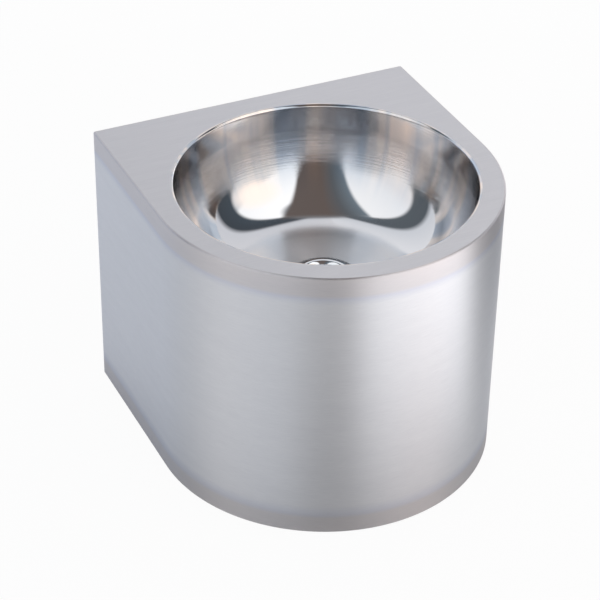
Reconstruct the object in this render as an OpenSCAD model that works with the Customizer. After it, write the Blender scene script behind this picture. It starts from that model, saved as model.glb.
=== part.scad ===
// Wall-hung hand wash sink in stainless steel. A round spun bowl is set in a D-shaped
// deck, and a deep apron with the same outline hides the waste and the bottle trap.
// Z is up and Y runs from the front to the wall. The origin lies below the middle of
// the body, on the level of its bottom edge. All lengths are in millimetres.

/* [Body] */
// Width over the two straight sides
body_w = 360; // [345:1:380]
// Depth from the wall to the front of the round nose
body_d = 365; // [355:1:420]
// Height from the bottom edge to the deck
body_h = 310; // [300:1:400]
// Thickness of the body's sheet
sheet_t = 1.5; // [1:0.1:1.8]
// Outside radius of the rolled edges and of the rear corners
edge_r = 2; // [2:0.5:5]
// Height of the deck's turned-down skirt and of the bottom rim's upstand
skirt_h = 20; // [14:1:30]
// Width of the bottom rim's inward return
rim_w = 15; // [8:1:20]
// Width of the apron's rear flanges that lie on the wall
flange_w = 35; // [28:1:40]

/* [Bowl] */
// Width of the deck between the bowl's lip and the outer edge, at the front and sides
deck_ring = 23.5; // [20:0.5:60]
// Least space between the bowl's lip and the wall
rear_space = 28.5; // [27:0.5:60]
// Depth from the deck to the lowest point of the dished floor
bowl_depth = 118; // [105:1:125]
// Radius of the rounded lip between deck and bowl
lip_r = 3; // [2.5:0.5:5]
// Inside radius of the turn from the wall to the floor
knuckle_r = 88; // [60:1:94]
// Inside radius of the dished floor
crown_r = 600; // [350:10:700]
// Depth of the drain recess below the floor
recess_depth = 4; // [3:0.5:6]
// Gap round the flange in the drain recess
recess_gap = 1; // [0.5:0.5:2]

/* [Sound pad] */
// Distance of the pad from the drain recess
pad_in_gap = 14.5; // [10:0.5:20]
// Distance of the pad from the edge of the dished floor
pad_out_gap = 5; // [4:0.5:12]
// Thickness of the pad
pad_t = 2; // [1.5:0.5:4]
// Glue film between the pad and the bowl
glue_t = 0.3; // [0.2:0.1:0.5]

/* [Wall fixing] */
// Thickness of the hanger angle and of the wall bracket
bracket_t = 2.5; // [2:0.5:3]
// Inside bend radius of both
bracket_bend_r = 2; // [1.5:0.5:3]
// Distance from the wall to the hanger's leg
hanger_gap = 8; // [7:0.5:10]
// Width of the hanger angle
hanger_w = 240; // [200:5:260]
// Drop of the hanger's leg below the deck
hanger_drop = 46; // [40:1:60]
// Least gap between the bowl's lip and the hanger's ledge under the deck
hanger_clear = 2.5; // [1:0.5:5]
// Width of the wall bracket
bracket_w = 220; // [180:5:240]
// Height of the wall bracket's plate below its shelf
bracket_drop = 65; // [50:1:80]
// Height of the bracket's lip above its shelf
lip_h = 14; // [10:1:18]
// Distance between the bracket's two slots
slot_spacing = 160; // [120:5:170]
// Width of each slot
slot_w = 8.5; // [6:0.5:10]
// Length of each slot, end to end
slot_len = 18; // [14:1:24]
// Height of the slots above the bracket's lower edge
slot_up = 30; // [20:1:36]
// Distance of each lower fixing hole from the body's side
fixing_in = 20; // [19:0.5:21]
// Height of the lower fixing holes above the bottom edge
fixing_z = 65; // [55:1:90]
// Diameter of the lower fixing holes
fixing_d = 9; // [7:0.5:11]
// Width of the reinforcing plates at the lower fixings
fixing_pad_w = 24; // [18:1:24]
// Height of the reinforcing plates
fixing_pad_h = 44; // [30:1:60]
// Thickness of the reinforcing plates
fixing_pad_t = 3; // [2:0.5:4]

/* [Earth point] */
// Distance of the earth tab from the body's left side
earth_in = 50; // [40:1:54]
// Distance of the tab's middle from the wall
earth_back = 52; // [45:1:56]
// Width of the tab
tab_w = 20; // [16:1:26]
// Height of the tab below the deck
tab_h = 30; // [26:1:36]
// Thickness of the tab
tab_t = 2; // [1.5:0.5:3]
// Height of the screw above the tab's lower edge
tab_hole_up = 10; // [8:1:12]
// Diameter of the earth screw
earth_d = 6; // [5:1:6]
// Length of the earth screw's shank
earth_len = 16; // [14:1:20]

/* [Waste] */
// Diameter of the polished drain flange
waste_flange_d = 70; // [66:1:76]
// Height of the flange's rounded top
waste_flange_h = 6; // [3:0.5:6.5]
// Height of the flange's outer rim, where the rounded top begins
flange_rim_h = 0.8; // [0.5:0.1:1.5]
// Outside diameter of the threaded tail
tail_d = 47.8; // [46:0.2:50]
// Wall of the tail
tail_wall = 2; // [1.5:0.5:3]
// Length of the tail below the flange
tail_len = 45; // [44:1:50]
// Depth of the grate below the flange's underside
grate_drop = 1.5; // [1:0.5:3]
// Thickness of the grate
grate_t = 1.5; // [1:0.5:2]
// Diameter of the grate's water holes
grate_hole_d = 6; // [4:0.5:6]
// Number of holes in the grate's outer ring
grate_holes = 12; // [8:1:12]
// Number of holes in the grate's inner ring
inner_holes = 6; // [4:1:6]
// Diameter of the inner ring's holes
inner_hole_d = 3.6; // [3:0.2:4]
// Width of the ledge that carries the grate
ledge_w = 2; // [1.5:0.5:3]
// Diameter of the grate screw
grate_screw_d = 6; // [4:1:6]
// Length of the grate screw
grate_screw_len = 14; // [12:1:18]
// Thickness of the seal under the flange
flange_seal_t = 2; // [1:0.5:3]
// Thickness of the seal under the bowl
under_seal_t = 3; // [2:0.5:4]
// Thickness of the slip washer
slip_t = 1.5; // [1:0.5:2]
// Width of the backnut across its flats
backnut_flats = 60; // [56:1:64]
// Height of the backnut
backnut_h = 10; // [8:1:12]

/* [Trap] */
// Wall of the trap's mouldings
trap_wall = 3; // [2.5:0.5:3.5]
// Outside diameter of the neck below the inlet
neck_d = 40; // [38:1:42]
// Thickness of the inlet seal
inlet_seal_t = 3; // [2:0.5:4]
// Height that the inlet nut climbs up the tail
inlet_grip = 15; // [12:1:18]
// Free length of the neck below its flange
neck_len = 7.5; // [6:0.5:12]
// Outside diameter of the trap's head
head_d = 68; // [66:1:74]
// Height of the trap's head
head_h = 54; // [52:1:60]
// Depth of the outlet's axis below the head's top
outlet_drop = 28; // [27:1:29]
// Diameter of the threaded skirt below the head
skirt_d = 63; // [61:0.5:64]
// Length of the threaded skirt
skirt_len = 18; // [14:1:20]
// Outside diameter of the dip tube
dip_d = 33; // [30:0.5:33]
// Wall of the dip tube
dip_wall = 2; // [1.5:0.5:2.5]
// Thickness of the dip tube's top flange
dip_flange_t = 1.5; // [1:0.5:2]
// Depth of the dip tube below the outlet's lowest point
water_seal = 51; // [50:1:52]
// Inside depth of the cup below its shoulder
cup_depth = 32; // [31:1:36]
// Inside radius of the cup's bottom edge
cup_r = 10; // [6:1:14]
// Thickness of the cup's seal ring
cup_seal_t = 2.5; // [2:0.5:3]
// Gap between the trap's head and the cup's collar
collar_gap = 2; // [1:0.5:3]
// Diameter of the waste pipe that plugs into the outlet
pipe_d = 40; // [38:0.5:40]
// Length of the outlet from the trap's axis to its mouth
outlet_len = 62; // [60:1:80]
// Depth of the pipe socket
socket_len = 24; // [20:1:26]
// Thickness of the outlet's seal ring
outlet_seal_t = 5; // [4:0.5:6]
// Length of outlet thread that the outlet nut covers
outlet_grip = 16; // [12:1:18]
// Number of grip ribs on the nuts and the cup
rib_count = 12; // [8:1:16]
// Radius of the grip ribs
rib_r = 2; // [1.5:0.5:2.5]

/* [Hidden] */
$fn = 96;

// Clearances
overrun = 1;
thread_gap = 0.3;
slide_gap = 0.5;
seat_gap = 0.3;
screw_gap = 0.3;

// Body
half_w = body_w / 2;
back_y = body_d / 2;
arc_y = half_w - back_y;
under_deck_z = body_h - sheet_t;

// Bowl, the largest round that the deck leaves room for
bowl_r = min(half_w - deck_ring, (body_d - deck_ring - rear_space) / 2) - lip_r;
bowl_y = deck_ring + lip_r + bowl_r - back_y;
crown_z = body_h - bowl_depth + crown_r;
crown_a = asin((bowl_r - knuckle_r) / (crown_r - knuckle_r));
knuckle_z = crown_z - (crown_r - knuckle_r) * cos(crown_a);
floor_edge_r = crown_r * sin(crown_a);
recess_r = waste_flange_d / 2 + recess_gap;
seat_z = body_h - bowl_depth - recess_depth;
lip_steps = 8;
knuckle_steps = 30;
crown_steps = 8;
pad_in_r = recess_r + sheet_t + pad_in_gap;
pad_out_r = floor_edge_r - pad_out_gap;

// Wall fixing
leg_back_y = back_y - hanger_gap;
leg_front_y = leg_back_y - bracket_t;
ledge_y = back_y - rear_space + hanger_clear;
fixing_x = half_w - fixing_in;
shelf_z = under_deck_z - hanger_drop;
bracket_z = shelf_z - bracket_drop;
plate_top_z = shelf_z - bracket_t - bracket_bend_r;

// Earth point
earth_x = half_w - earth_in;
earth_y = back_y - earth_back;
earth_z = under_deck_z - tab_h + tab_hole_up;
earth_head_r_share = 0.85;
earth_head_h_share = 0.6;
earth_washer_h_share = 0.2;
earth_nut_h_share = 0.8;
earth_nut_r_share = 0.96;
earth_washer_r_share = 1.05;
earth_washer_t = earth_d * earth_washer_h_share;

// Waste
flange_z = seat_z + flange_seal_t;
flange_r = waste_flange_d / 2;
tail_r = tail_d / 2;
bore_r = tail_r - tail_wall;
tail_z = flange_z - tail_len;
flange_mid_r = (flange_r + bore_r) / 2;
arch_half = (flange_r - bore_r) / 2;
arch_h = waste_flange_h - flange_rim_h;
arch_r = (arch_half * arch_half + arch_h * arch_h) / (2 * arch_h);
arch_a = asin(arch_half / arch_r);
arch_steps = 12;
grate_z = flange_z - grate_drop - grate_t;
grate_r = bore_r - seat_gap;
spider_z = grate_z - grate_screw_len;
spider_h = grate_screw_len / 2;
spider_w = tail_wall;
boss_r = grate_screw_d;
outer_ring_share = 0.74;
inner_ring_share = 0.4;
screw_head_share = 0.9;
under_z = seat_z - sheet_t - under_seal_t;
slip_z = under_z - slip_t;
backnut_z = slip_z - backnut_h;
seal_r = recess_r;

// Trap
inlet_seal_z = tail_z - inlet_seal_t;
dip_flange_z = inlet_seal_z - dip_flange_t;
neck_flange_z = dip_flange_z - trap_wall;
neck_r = neck_d / 2;
neck_bore_r = neck_r - trap_wall;
inlet_lip_z = neck_flange_z - trap_wall;
nut_bore_r = tail_r + thread_gap;
nut_r = nut_bore_r + 2 * trap_wall;
head_top_z = neck_flange_z - neck_len;
head_z = head_top_z - head_h;
head_r = head_d / 2;
skirt_r = skirt_d / 2;
skirt_z = head_z - skirt_len;
chamber_r = skirt_r - trap_wall;
socket_r = pipe_d / 2 + thread_gap;
outlet_r = socket_r + trap_wall;
outlet_bore_r = socket_r - trap_wall;
outlet_z = head_top_z - outlet_drop;
dip_r = dip_d / 2;
dip_z = outlet_z - outlet_bore_r - water_seal;
collar_r = skirt_r + thread_gap;
cup_out_r = collar_r + trap_wall;
collar_top_z = head_z - collar_gap;
cup_seal_top_z = skirt_z - seat_gap;
cup_seal_z = cup_seal_top_z - cup_seal_t;
shoulder_z = cup_seal_z - seat_gap;
cup_bore_r = chamber_r - slide_gap;
cup_floor_z = shoulder_z - cup_depth;
outlet_y = bowl_y + outlet_len;
outlet_lip_y = outlet_y + outlet_seal_t;

// Colours
satin = "#b4b7bb";
bright = "#cfd3d6";
mill = "#9ea1a4";
brass = "#b89a55";
black = "#2b2b2d";
white = "#e9e9e4";
grey = "#5a5c5e";

// Section of a sheet bent round the origin, from angle a0 to angle a1
module bend(r_in, t, a0, a1) {
    reach = 2 * (r_in + t);
    step = (a1 - a0) / 4;
    intersection() {
        difference() {
            circle(r_in + t);
            circle(r_in);
        }
        polygon(concat([[0, 0]], [for (i = [0:4]) reach * [cos(a0 + i * step), sin(a0 + i * step)]]));
    }
}

// Filled D outline, drawn in from the body's own by an inset and square at the rear
module d_shape(inset) {
    r = half_w - inset;
    translate([0, arc_y]) bend_disc(r);
    translate([-r, arc_y]) square([2 * r, back_y - inset - arc_y]);
}

// Front half of a disc
module bend_disc(r) {
    intersection() {
        circle(r);
        translate([-2 * r, -2 * r]) square([4 * r, 2 * r]);
    }
}

// Carries a section round the whole D outline. In the section, X is the distance in from
// the outer face, from zero to edge_r, and Y is the height.
module d_sweep() {
    translate([0, arc_y, 0])
        rotate_extrude(angle = 180, start = 180)
            translate([half_w, 0]) mirror([1, 0]) children();
    for (side = [0, 1]) mirror([side, 0, 0]) {
        translate([0, back_y - edge_r, 0]) rotate([90, 0, 0])
            linear_extrude(back_y - edge_r - arc_y)
                translate([half_w, 0]) mirror([1, 0]) children();
        translate([half_w - edge_r, back_y - edge_r, 0])
            rotate_extrude(angle = 90)
                translate([edge_r, 0]) mirror([1, 0]) children();
    }
    translate([edge_r - half_w, 0, 0]) rotate([90, 0, 90])
        linear_extrude(body_w - 2 * edge_r)
            translate([back_y, 0]) mirror([1, 0]) children();
}

// Section of the rolled edge and its skirt, with the flat face at height zero
module edge_section() {
    translate([edge_r, -edge_r]) bend(edge_r - sheet_t, sheet_t, 90, 180);
    translate([0, -skirt_h]) square([sheet_t, skirt_h - edge_r]);
}

// Places a piece on the bowl's axis
module on_drain() {
    translate([0, bowl_y, 0]) children();
}

// Flat ring between two heights on the bowl's axis
module ring(r_out, r_in, z0, z1) {
    on_drain() translate([0, 0, z0]) linear_extrude(z1 - z0) difference() {
        circle(r_out);
        circle(r_in);
    }
}

// Outline of a hand-tightened nut or collar: a ring with grip ribs
module ribbed_ring(r_out, r_in) {
    difference() {
        union() {
            circle(r_out);
            for (i = [0:rib_count - 1]) rotate(i * 360 / rib_count) translate([r_out, 0]) circle(rib_r);
        }
        circle(r_in);
    }
}

// Deck: a pressed D-shaped sheet with a rolled edge and a skirt all round
module deck_plate() color(satin) {
    translate([0, 0, under_deck_z]) linear_extrude(sheet_t) difference() {
        d_shape(edge_r);
        translate([0, bowl_y]) circle(bowl_r + lip_r);
    }
    d_sweep() translate([0, body_h]) edge_section();
}

// Points of a round stretch about a centre, from angle a0 to angle a1
function arc_points(x, z, r, a0, a1, steps, first = 0) = [
    for (i = [first:steps]) let (a = a0 + (a1 - a0) * i / steps) [x + r * cos(a), z + r * sin(a)]
];

function reversed(list) = [for (i = [len(list) - 1:-1:0]) list[i]];

// One face of the bowl's sheet in section, from the lip to the waste hole. The inner face
// has grow at zero and the outer face has it at the sheet's thickness.
function bowl_face(grow) = concat(
    arc_points(bowl_r + lip_r, body_h - lip_r, lip_r - grow, 90, 180, lip_steps),
    arc_points(bowl_r - knuckle_r, knuckle_z, knuckle_r + grow, 0, crown_a - 90, knuckle_steps),
    arc_points(0, crown_z, crown_r + grow, crown_a - 90, recess_a(grow), crown_steps, 1),
    [[recess_r + grow, seat_z - grow], [tail_r + slide_gap, seat_z - grow]]
);

// Direction from the floor's centre to the top edge of the drain recess
function recess_a(grow) = asin((recess_r + grow) / (crown_r + grow)) - 90;

// Bowl: spun in one piece, with a rounded lip, an upright wall, a dished floor and the
// recess that holds the drain flange
module bowl() color(bright) on_drain() rotate_extrude()
    polygon(concat(bowl_face(0), reversed(bowl_face(sheet_t))));

// Apron: one sheet wrapped round the nose and sides, with two bent flanges at the rear
module apron() color(satin) difference() {
    translate([0, 0, skirt_h]) linear_extrude(body_h - 2 * skirt_h) apron_plan();
    lower_fixings() cylinder(d = fixing_d, h = sheet_t + 2 * overrun);
}

module apron_plan() {
    translate([0, arc_y]) bend(half_w - sheet_t, sheet_t, 180, 360);
    for (side = [0, 1]) mirror([side, 0]) {
        translate([half_w - sheet_t, arc_y]) square([sheet_t, back_y - edge_r - arc_y]);
        translate([half_w - edge_r, back_y - edge_r]) bend(edge_r - sheet_t, sheet_t, 0, 90);
        translate([half_w - flange_w, back_y - sheet_t]) square([flange_w - edge_r, sheet_t]);
    }
}

// Places a cutter at each lower fixing, pointing from behind the wall face into the body
module lower_fixings() {
    for (side = [-1, 1]) translate([side * fixing_x, back_y + overrun, fixing_z])
        rotate([90, 0, 0]) children();
}

// Bottom rim: rolled edge with an upstand that meets the apron, and a flat inward return
module bottom_rim() color(satin) {
    linear_extrude(sheet_t) difference() {
        d_shape(edge_r);
        d_shape(rim_w);
    }
    d_sweep() mirror([0, 1]) edge_section();
}

// Sound pad: a ring of damping sheet glued under the dished floor
module sound_pad() color(grey) on_drain() rotate_extrude() {
    pad_r = crown_r + sheet_t + glue_t;
    translate([0, crown_z]) bend(pad_r, pad_t, asin(pad_in_r / pad_r) - 90, asin(pad_out_r / pad_r) - 90);
}

// Hanger angle: its ledge is welded under the deck and its leg hangs in the wall bracket
module hanger_angle() color(mill)
    translate([-hanger_w / 2, 0, 0]) rotate([90, 0, 90]) linear_extrude(hanger_w) {
        bend_y = leg_front_y - bracket_bend_r;
        bend_z = under_deck_z - bracket_t - bracket_bend_r;
        translate([ledge_y, under_deck_z - bracket_t]) square([bend_y - ledge_y, bracket_t]);
        translate([bend_y, bend_z]) bend(bracket_bend_r, bracket_t, 0, 90);
        translate([leg_front_y, shelf_z]) square([bracket_t, bend_z - shelf_z]);
    }

// Wall bracket: a plate with two slots, bent out to a shelf and up to a lip
module wall_bracket() color(mill) difference() {
    translate([-bracket_w / 2, 0, 0]) rotate([90, 0, 90]) linear_extrude(bracket_w) bracket_section();
    for (side = [-1, 1]) translate([side * slot_spacing / 2, back_y + overrun, bracket_z + slot_up])
        rotate([90, 0, 0]) linear_extrude(bracket_t + 2 * overrun) slot();
}

module bracket_section() {
    translate([back_y - bracket_t, bracket_z]) square([bracket_t, plate_top_z - bracket_z]);
    translate([back_y - bracket_t - bracket_bend_r, plate_top_z]) bend(bracket_bend_r, bracket_t, 0, 90);
    translate([leg_front_y, shelf_z - bracket_t])
        square([hanger_gap - bracket_bend_r, bracket_t]);
    translate([leg_front_y, shelf_z + bracket_bend_r]) bend(bracket_bend_r, bracket_t, 180, 270);
    translate([leg_front_y - bracket_bend_r - bracket_t, shelf_z + bracket_bend_r])
        square([bracket_t, lip_h - bracket_bend_r]);
}

module slot() {
    run = slot_len - slot_w;
    for (end = [-1, 1]) translate([end * run / 2, 0]) circle(d = slot_w);
    translate([-run / 2, -slot_w / 2]) square([run, slot_w]);
}

// Reinforcing plates: welded inside the rear flanges, round the lower fixings
module fixing_pad_left() color(mill) fixing_pad(-1);

module fixing_pad_right() color(mill) fixing_pad(1);

module fixing_pad(side) {
    difference() {
        translate([side * fixing_x - fixing_pad_w / 2, back_y - sheet_t - fixing_pad_t,
            fixing_z - fixing_pad_h / 2]) cube([fixing_pad_w, fixing_pad_t, fixing_pad_h]);
        lower_fixings() cylinder(d = fixing_d, h = sheet_t + fixing_pad_t + 2 * overrun);
    }
}

// Places a piece on the earth screw's axis, which runs along X from the tab's right face
module on_earth_screw() {
    translate([-earth_x, earth_y, earth_z]) rotate([0, 90, 0]) children();
}

// Earth tab: a drilled plate welded under the deck
module earth_tab() color(mill) difference() {
    translate([-earth_x - tab_t, earth_y - tab_w / 2, under_deck_z - tab_h]) cube([tab_t, tab_w, tab_h]);
    on_earth_screw() translate([0, 0, -tab_t - overrun])
        cylinder(r = earth_d / 2 + screw_gap, h = tab_t + 2 * overrun);
}

// Earth screw: its round head lies on the tab's left face
module earth_screw() color(brass) on_earth_screw() {
    head_h = earth_d * earth_head_h_share;
    translate([0, 0, -tab_t - head_h]) cylinder(r = earth_d * earth_head_r_share, h = head_h);
    translate([0, 0, -tab_t]) cylinder(d = earth_d, h = earth_len);
}

module earth_washer() color(brass) on_earth_screw() linear_extrude(earth_washer_t) difference() {
    circle(earth_d * earth_washer_r_share);
    circle(earth_d / 2 + screw_gap);
}

module earth_nut() color(brass) on_earth_screw() translate([0, 0, earth_washer_t])
    linear_extrude(earth_d * earth_nut_h_share) difference() {
        circle(earth_d * earth_nut_r_share, $fn = 6);
        circle(earth_d / 2 + screw_gap);
    }

// Waste body: a flange with a rounded top, a threaded tail, a ledge for the grate and a
// three-armed spider for the grate's screw
module waste_body() color(bright) on_drain() {
    rotate_extrude() polygon(concat(
        [[bore_r, tail_z], [tail_r, tail_z], [tail_r, flange_z], [flange_r, flange_z]],
        arc_points(flange_mid_r, flange_z + waste_flange_h - arch_r, arch_r, 90 - arch_a, 90 + arch_a, arch_steps),
        [[bore_r, grate_z], [bore_r - ledge_w, grate_z]],
        [[bore_r - ledge_w, grate_z - ledge_w], [bore_r, grate_z - ledge_w]]
    ));
    translate([0, 0, spider_z]) linear_extrude(spider_h) difference() {
        union() {
            circle(boss_r);
            for (i = [0:2]) rotate(120 * i) translate([0, -spider_w / 2])
                square([bore_r + tail_wall / 2, spider_w]);
        }
        circle(grate_screw_d / 2 + screw_gap);
    }
}

// Waste grate: a drilled disc that drops on to the ledge
module waste_grate() color(bright) on_drain() difference() {
    translate([0, 0, grate_z]) linear_extrude(grate_t) difference() {
        circle(grate_r);
        circle(grate_screw_d / 2 + screw_gap);
        for (i = [0:grate_holes - 1]) rotate(i * 360 / grate_holes)
            translate([grate_r * outer_ring_share, 0]) circle(d = grate_hole_d);
        for (i = [0:inner_holes - 1]) rotate(i * 360 / inner_holes)
            translate([grate_r * inner_ring_share, 0]) circle(d = inner_hole_d);
    }
}

// Grate screw: a low round head on the grate and a shank down into the spider
module grate_screw() color(bright) on_drain() {
    translate([0, 0, grate_z + grate_t]) cylinder(r = grate_screw_d * screw_head_share, h = grate_t);
    translate([0, 0, spider_z]) cylinder(d = grate_screw_d, h = grate_screw_len + grate_t);
}

// Seals, slip washer and backnut that clamp the bowl's seat
module flange_seal() color(black) ring(flange_r - slide_gap, tail_r + slide_gap, seat_z, flange_z);

module under_seal() color(black) ring(seal_r, tail_r + slide_gap, under_z, seat_z - sheet_t);

module slip_washer() color(white) ring(seal_r, tail_r + slide_gap, slip_z, under_z);

module backnut() color(brass) on_drain() translate([0, 0, backnut_z]) linear_extrude(backnut_h) difference() {
    circle(backnut_flats / sqrt(3), $fn = 6);
    circle(nut_bore_r);
}

// Inlet nut: screws up the tail and lifts the trap's neck by its flange
module inlet_nut() color(white) on_drain() {
    translate([0, 0, neck_flange_z]) linear_extrude(tail_z + inlet_grip - neck_flange_z)
        ribbed_ring(nut_r, nut_bore_r);
    translate([0, 0, inlet_lip_z]) linear_extrude(trap_wall) ribbed_ring(nut_r, neck_r + slide_gap);
}

module inlet_seal() color(black) ring(tail_r, bore_r, inlet_seal_z, tail_z);

// Dip tube: hangs by its flange on the neck and ends below the water line
module dip_tube() color(white) on_drain() rotate_extrude() {
    translate([dip_r - dip_wall, dip_z]) square([dip_wall, dip_flange_z + dip_flange_t - dip_z]);
    translate([dip_r - dip_wall, dip_flange_z]) square([tail_r - dip_r + dip_wall, dip_flange_t]);
}

// Trap body: neck, head with the outlet socket at its rear, and the threaded skirt
module trap_body() color(white) difference() {
    union() {
        on_drain() {
            translate([0, 0, neck_flange_z]) cylinder(r = tail_r, h = trap_wall);
            translate([0, 0, head_z]) cylinder(r = neck_r, h = neck_flange_z - head_z);
            translate([0, 0, head_z]) cylinder(r = head_r, h = head_h);
            translate([0, 0, skirt_z]) cylinder(r = skirt_r, h = skirt_len + trap_wall);
        }
        translate([0, bowl_y, outlet_z]) rotate([-90, 0, 0]) cylinder(r = outlet_r, h = outlet_len);
    }
    on_drain() {
        translate([0, 0, skirt_z - overrun]) cylinder(r = chamber_r, h = head_top_z - trap_wall - skirt_z + overrun);
        translate([0, 0, head_z]) cylinder(r = neck_bore_r, h = dip_flange_z - head_z + overrun);
    }
    translate([0, bowl_y, outlet_z]) rotate([-90, 0, 0]) cylinder(r = outlet_bore_r, h = outlet_len);
    translate([0, outlet_y - socket_len, outlet_z]) rotate([-90, 0, 0]) cylinder(r = socket_r, h = socket_len + overrun);
}

// Cup seal: lies between the skirt's edge and the cup's shoulder
module cup_seal() color(black) ring(skirt_r - slide_gap, chamber_r, cup_seal_z, cup_seal_top_z);

// Trap cup: screws on to the skirt with a ribbed collar and holds the water
module trap_cup() color(white) on_drain() {
    translate([0, 0, shoulder_z - trap_wall]) linear_extrude(collar_top_z - shoulder_z + trap_wall)
        ribbed_ring(cup_out_r, collar_r);
    rotate_extrude() {
        translate([cup_bore_r, shoulder_z - trap_wall]) square([collar_r - cup_bore_r + trap_wall / 2, trap_wall]);
        translate([cup_bore_r, cup_floor_z + cup_r]) square([trap_wall, cup_depth - cup_r]);
        translate([cup_bore_r - cup_r, cup_floor_z + cup_r]) bend(cup_r, trap_wall, -90, 0);
        translate([0, cup_floor_z - trap_wall]) square([cup_bore_r - cup_r, trap_wall]);
    }
}

// Places a section on the outlet's axis, growing towards the wall
module on_outlet(y) {
    translate([0, y, outlet_z]) rotate([-90, 0, 0]) children();
}

module outlet_seal() color(black) on_outlet(outlet_y) linear_extrude(outlet_seal_t) difference() {
    circle(outlet_r);
    circle(socket_r);
}

// Outlet nut: screws on to the socket and presses the seal round the pipe
module outlet_nut() color(white) {
    nut_in_r = outlet_r + thread_gap;
    on_outlet(outlet_y - outlet_grip) linear_extrude(outlet_grip + outlet_seal_t)
        ribbed_ring(nut_in_r + trap_wall, nut_in_r);
    on_outlet(outlet_lip_y) linear_extrude(trap_wall)
        ribbed_ring(nut_in_r + trap_wall, socket_r + thread_gap);
}

deck_plate();
bowl();
apron();
bottom_rim();
sound_pad();
hanger_angle();
wall_bracket();
fixing_pad_left();
fixing_pad_right();
earth_tab();
earth_screw();
earth_washer();
earth_nut();
waste_body();
waste_grate();
grate_screw();
flange_seal();
under_seal();
slip_washer();
backnut();
inlet_nut();
inlet_seal();
dip_tube();
trap_body();
cup_seal();
trap_cup();
outlet_seal();
outlet_nut();
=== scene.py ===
import math

import bmesh
import bpy
from mathutils import Matrix, Vector


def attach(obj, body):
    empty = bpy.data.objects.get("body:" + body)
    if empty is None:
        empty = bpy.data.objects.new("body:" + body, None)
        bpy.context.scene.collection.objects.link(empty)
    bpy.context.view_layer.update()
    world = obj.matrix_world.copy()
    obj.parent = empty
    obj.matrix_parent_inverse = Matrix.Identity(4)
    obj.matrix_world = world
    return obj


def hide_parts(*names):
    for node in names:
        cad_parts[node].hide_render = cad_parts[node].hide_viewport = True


# A wall-hung hand wash sink in stainless steel, seen from its front left and from above.
# Lengths are written in millimetres and turned to metres where they are used.
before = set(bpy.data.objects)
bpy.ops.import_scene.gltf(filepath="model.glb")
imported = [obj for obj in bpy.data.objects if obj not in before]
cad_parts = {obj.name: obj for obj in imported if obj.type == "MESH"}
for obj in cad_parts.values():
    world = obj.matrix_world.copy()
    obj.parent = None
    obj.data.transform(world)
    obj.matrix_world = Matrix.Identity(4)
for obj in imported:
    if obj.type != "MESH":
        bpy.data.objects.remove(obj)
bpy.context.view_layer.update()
MM = 0.001

# Camera: it stands where the photograph was taken from, which was solved from the edges
# of the deck, the bowl opening, the apron and the bottom edge.
camera_place = (-822.07, -1647.95, 1421.78)
camera_rows = (
    (0.904675, -0.425848, 0.014693),
    (0.229629, 0.516293, 0.825053),
    (0.358933, 0.743031, -0.564864),
)


def move_to(x, y, z):
    """A move to a place in millimetres."""
    return Matrix.Translation(Vector((x, y, z)) * MM)


camera = bpy.data.objects.new("photo_camera", bpy.data.cameras.new("photo_camera"))
bpy.context.scene.collection.objects.link(camera)
right, up, ahead = (Vector(row) for row in camera_rows)
camera.matrix_world = move_to(*camera_place) @ Matrix((right, up, -ahead)).transposed().to_4x4()
camera.data.sensor_width = 36
camera.data.lens = 128.239
camera.data.clip_start = 0.05
camera.data.clip_end = 60
bpy.context.scene.camera = camera

# Deck: a sheet of 1.5 mm stainless steel, pressed with a small rolled edge and a skirt
# all round, and cut out for the bowl. Its face is dry-linished parallel to the wall, and
# the skirt is linished along the edge.
# Half the width, the wall's face, the centre of the round nose, and the height of the face.
HALF_W, BACK_Y, NOSE_Y, TOP_Z = 180, 182.5, -2.5, 310
# The sheet, the outer radius of its edge and the skirt's depth, then the bowl's wall and its lip.
SHEET, EDGE_R, SKIRT = 1.5, 2, 20
BOWL_R, LIP_R = 153.5, 3


def linear(code):
    """A colour written as sRGB hex, such as "8fa0b0", as linear RGBA."""
    parts = [int(code[i : i + 2], 16) / 255 for i in (0, 2, 4)]
    return [p / 12.92 if p <= 0.04045 else ((p + 0.055) / 1.055) ** 2.4 for p in parts] + [1]


def add_node(tree, kind, inputs=None, **fields):
    """Adds a node, sets its fields, and fills its inputs with values or links."""
    node = tree.nodes.new(kind)
    for field, value in fields.items():
        setattr(node, field, value)
    for name, value in (inputs or {}).items():
        if isinstance(value, bpy.types.NodeSocket):
            tree.links.new(value, node.inputs[name])
        else:
            node.inputs[name].default_value = value
    return node


def new_material(name, **shader):
    """A material with its shader and output, ready for its pattern: (material, tree, shader)."""
    material = bpy.data.materials.new(name)
    material.use_nodes = True
    tree = material.node_tree
    tree.nodes.clear()
    surface = add_node(tree, "ShaderNodeBsdfPrincipled", shader)
    add_node(tree, "ShaderNodeOutputMaterial", {"Surface": surface.outputs[0]})
    return material, tree, surface


def place(piece, body, slot, *nodes):
    """Puts a piece on its body, and hides the solids that it stands for. The slot is not used."""
    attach(piece, body)
    if nodes:
        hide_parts(*nodes)
    return piece


def finish_mesh(name, bm, material, sharp=35):
    """Turns a bmesh into a smooth-shaded object whose faces point outwards."""
    bmesh.ops.remove_doubles(bm, verts=bm.verts, dist=1e-6)
    bmesh.ops.dissolve_degenerate(bm, edges=bm.edges, dist=1e-7)
    bmesh.ops.recalc_face_normals(bm, faces=bm.faces)
    mesh = bpy.data.meshes.new(name)
    bm.to_mesh(mesh)
    bm.free()
    mesh.shade_smooth()
    mesh.set_sharp_from_angle(angle=math.radians(sharp))
    mesh.materials.append(material)
    piece = bpy.data.objects.new(name, mesh)
    bpy.context.scene.collection.objects.link(piece)
    return piece


def spread(a, b, steps):
    """Values from a to b with a close pair at each end, which keep a flat stretch's shading flat."""
    near = math.copysign(min(0.4, abs(b - a) / 8), b - a)
    inner = [a + near + (b - a - 2 * near) * i / steps for i in range(steps + 1)]
    return [a] + inner + [b]


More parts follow.
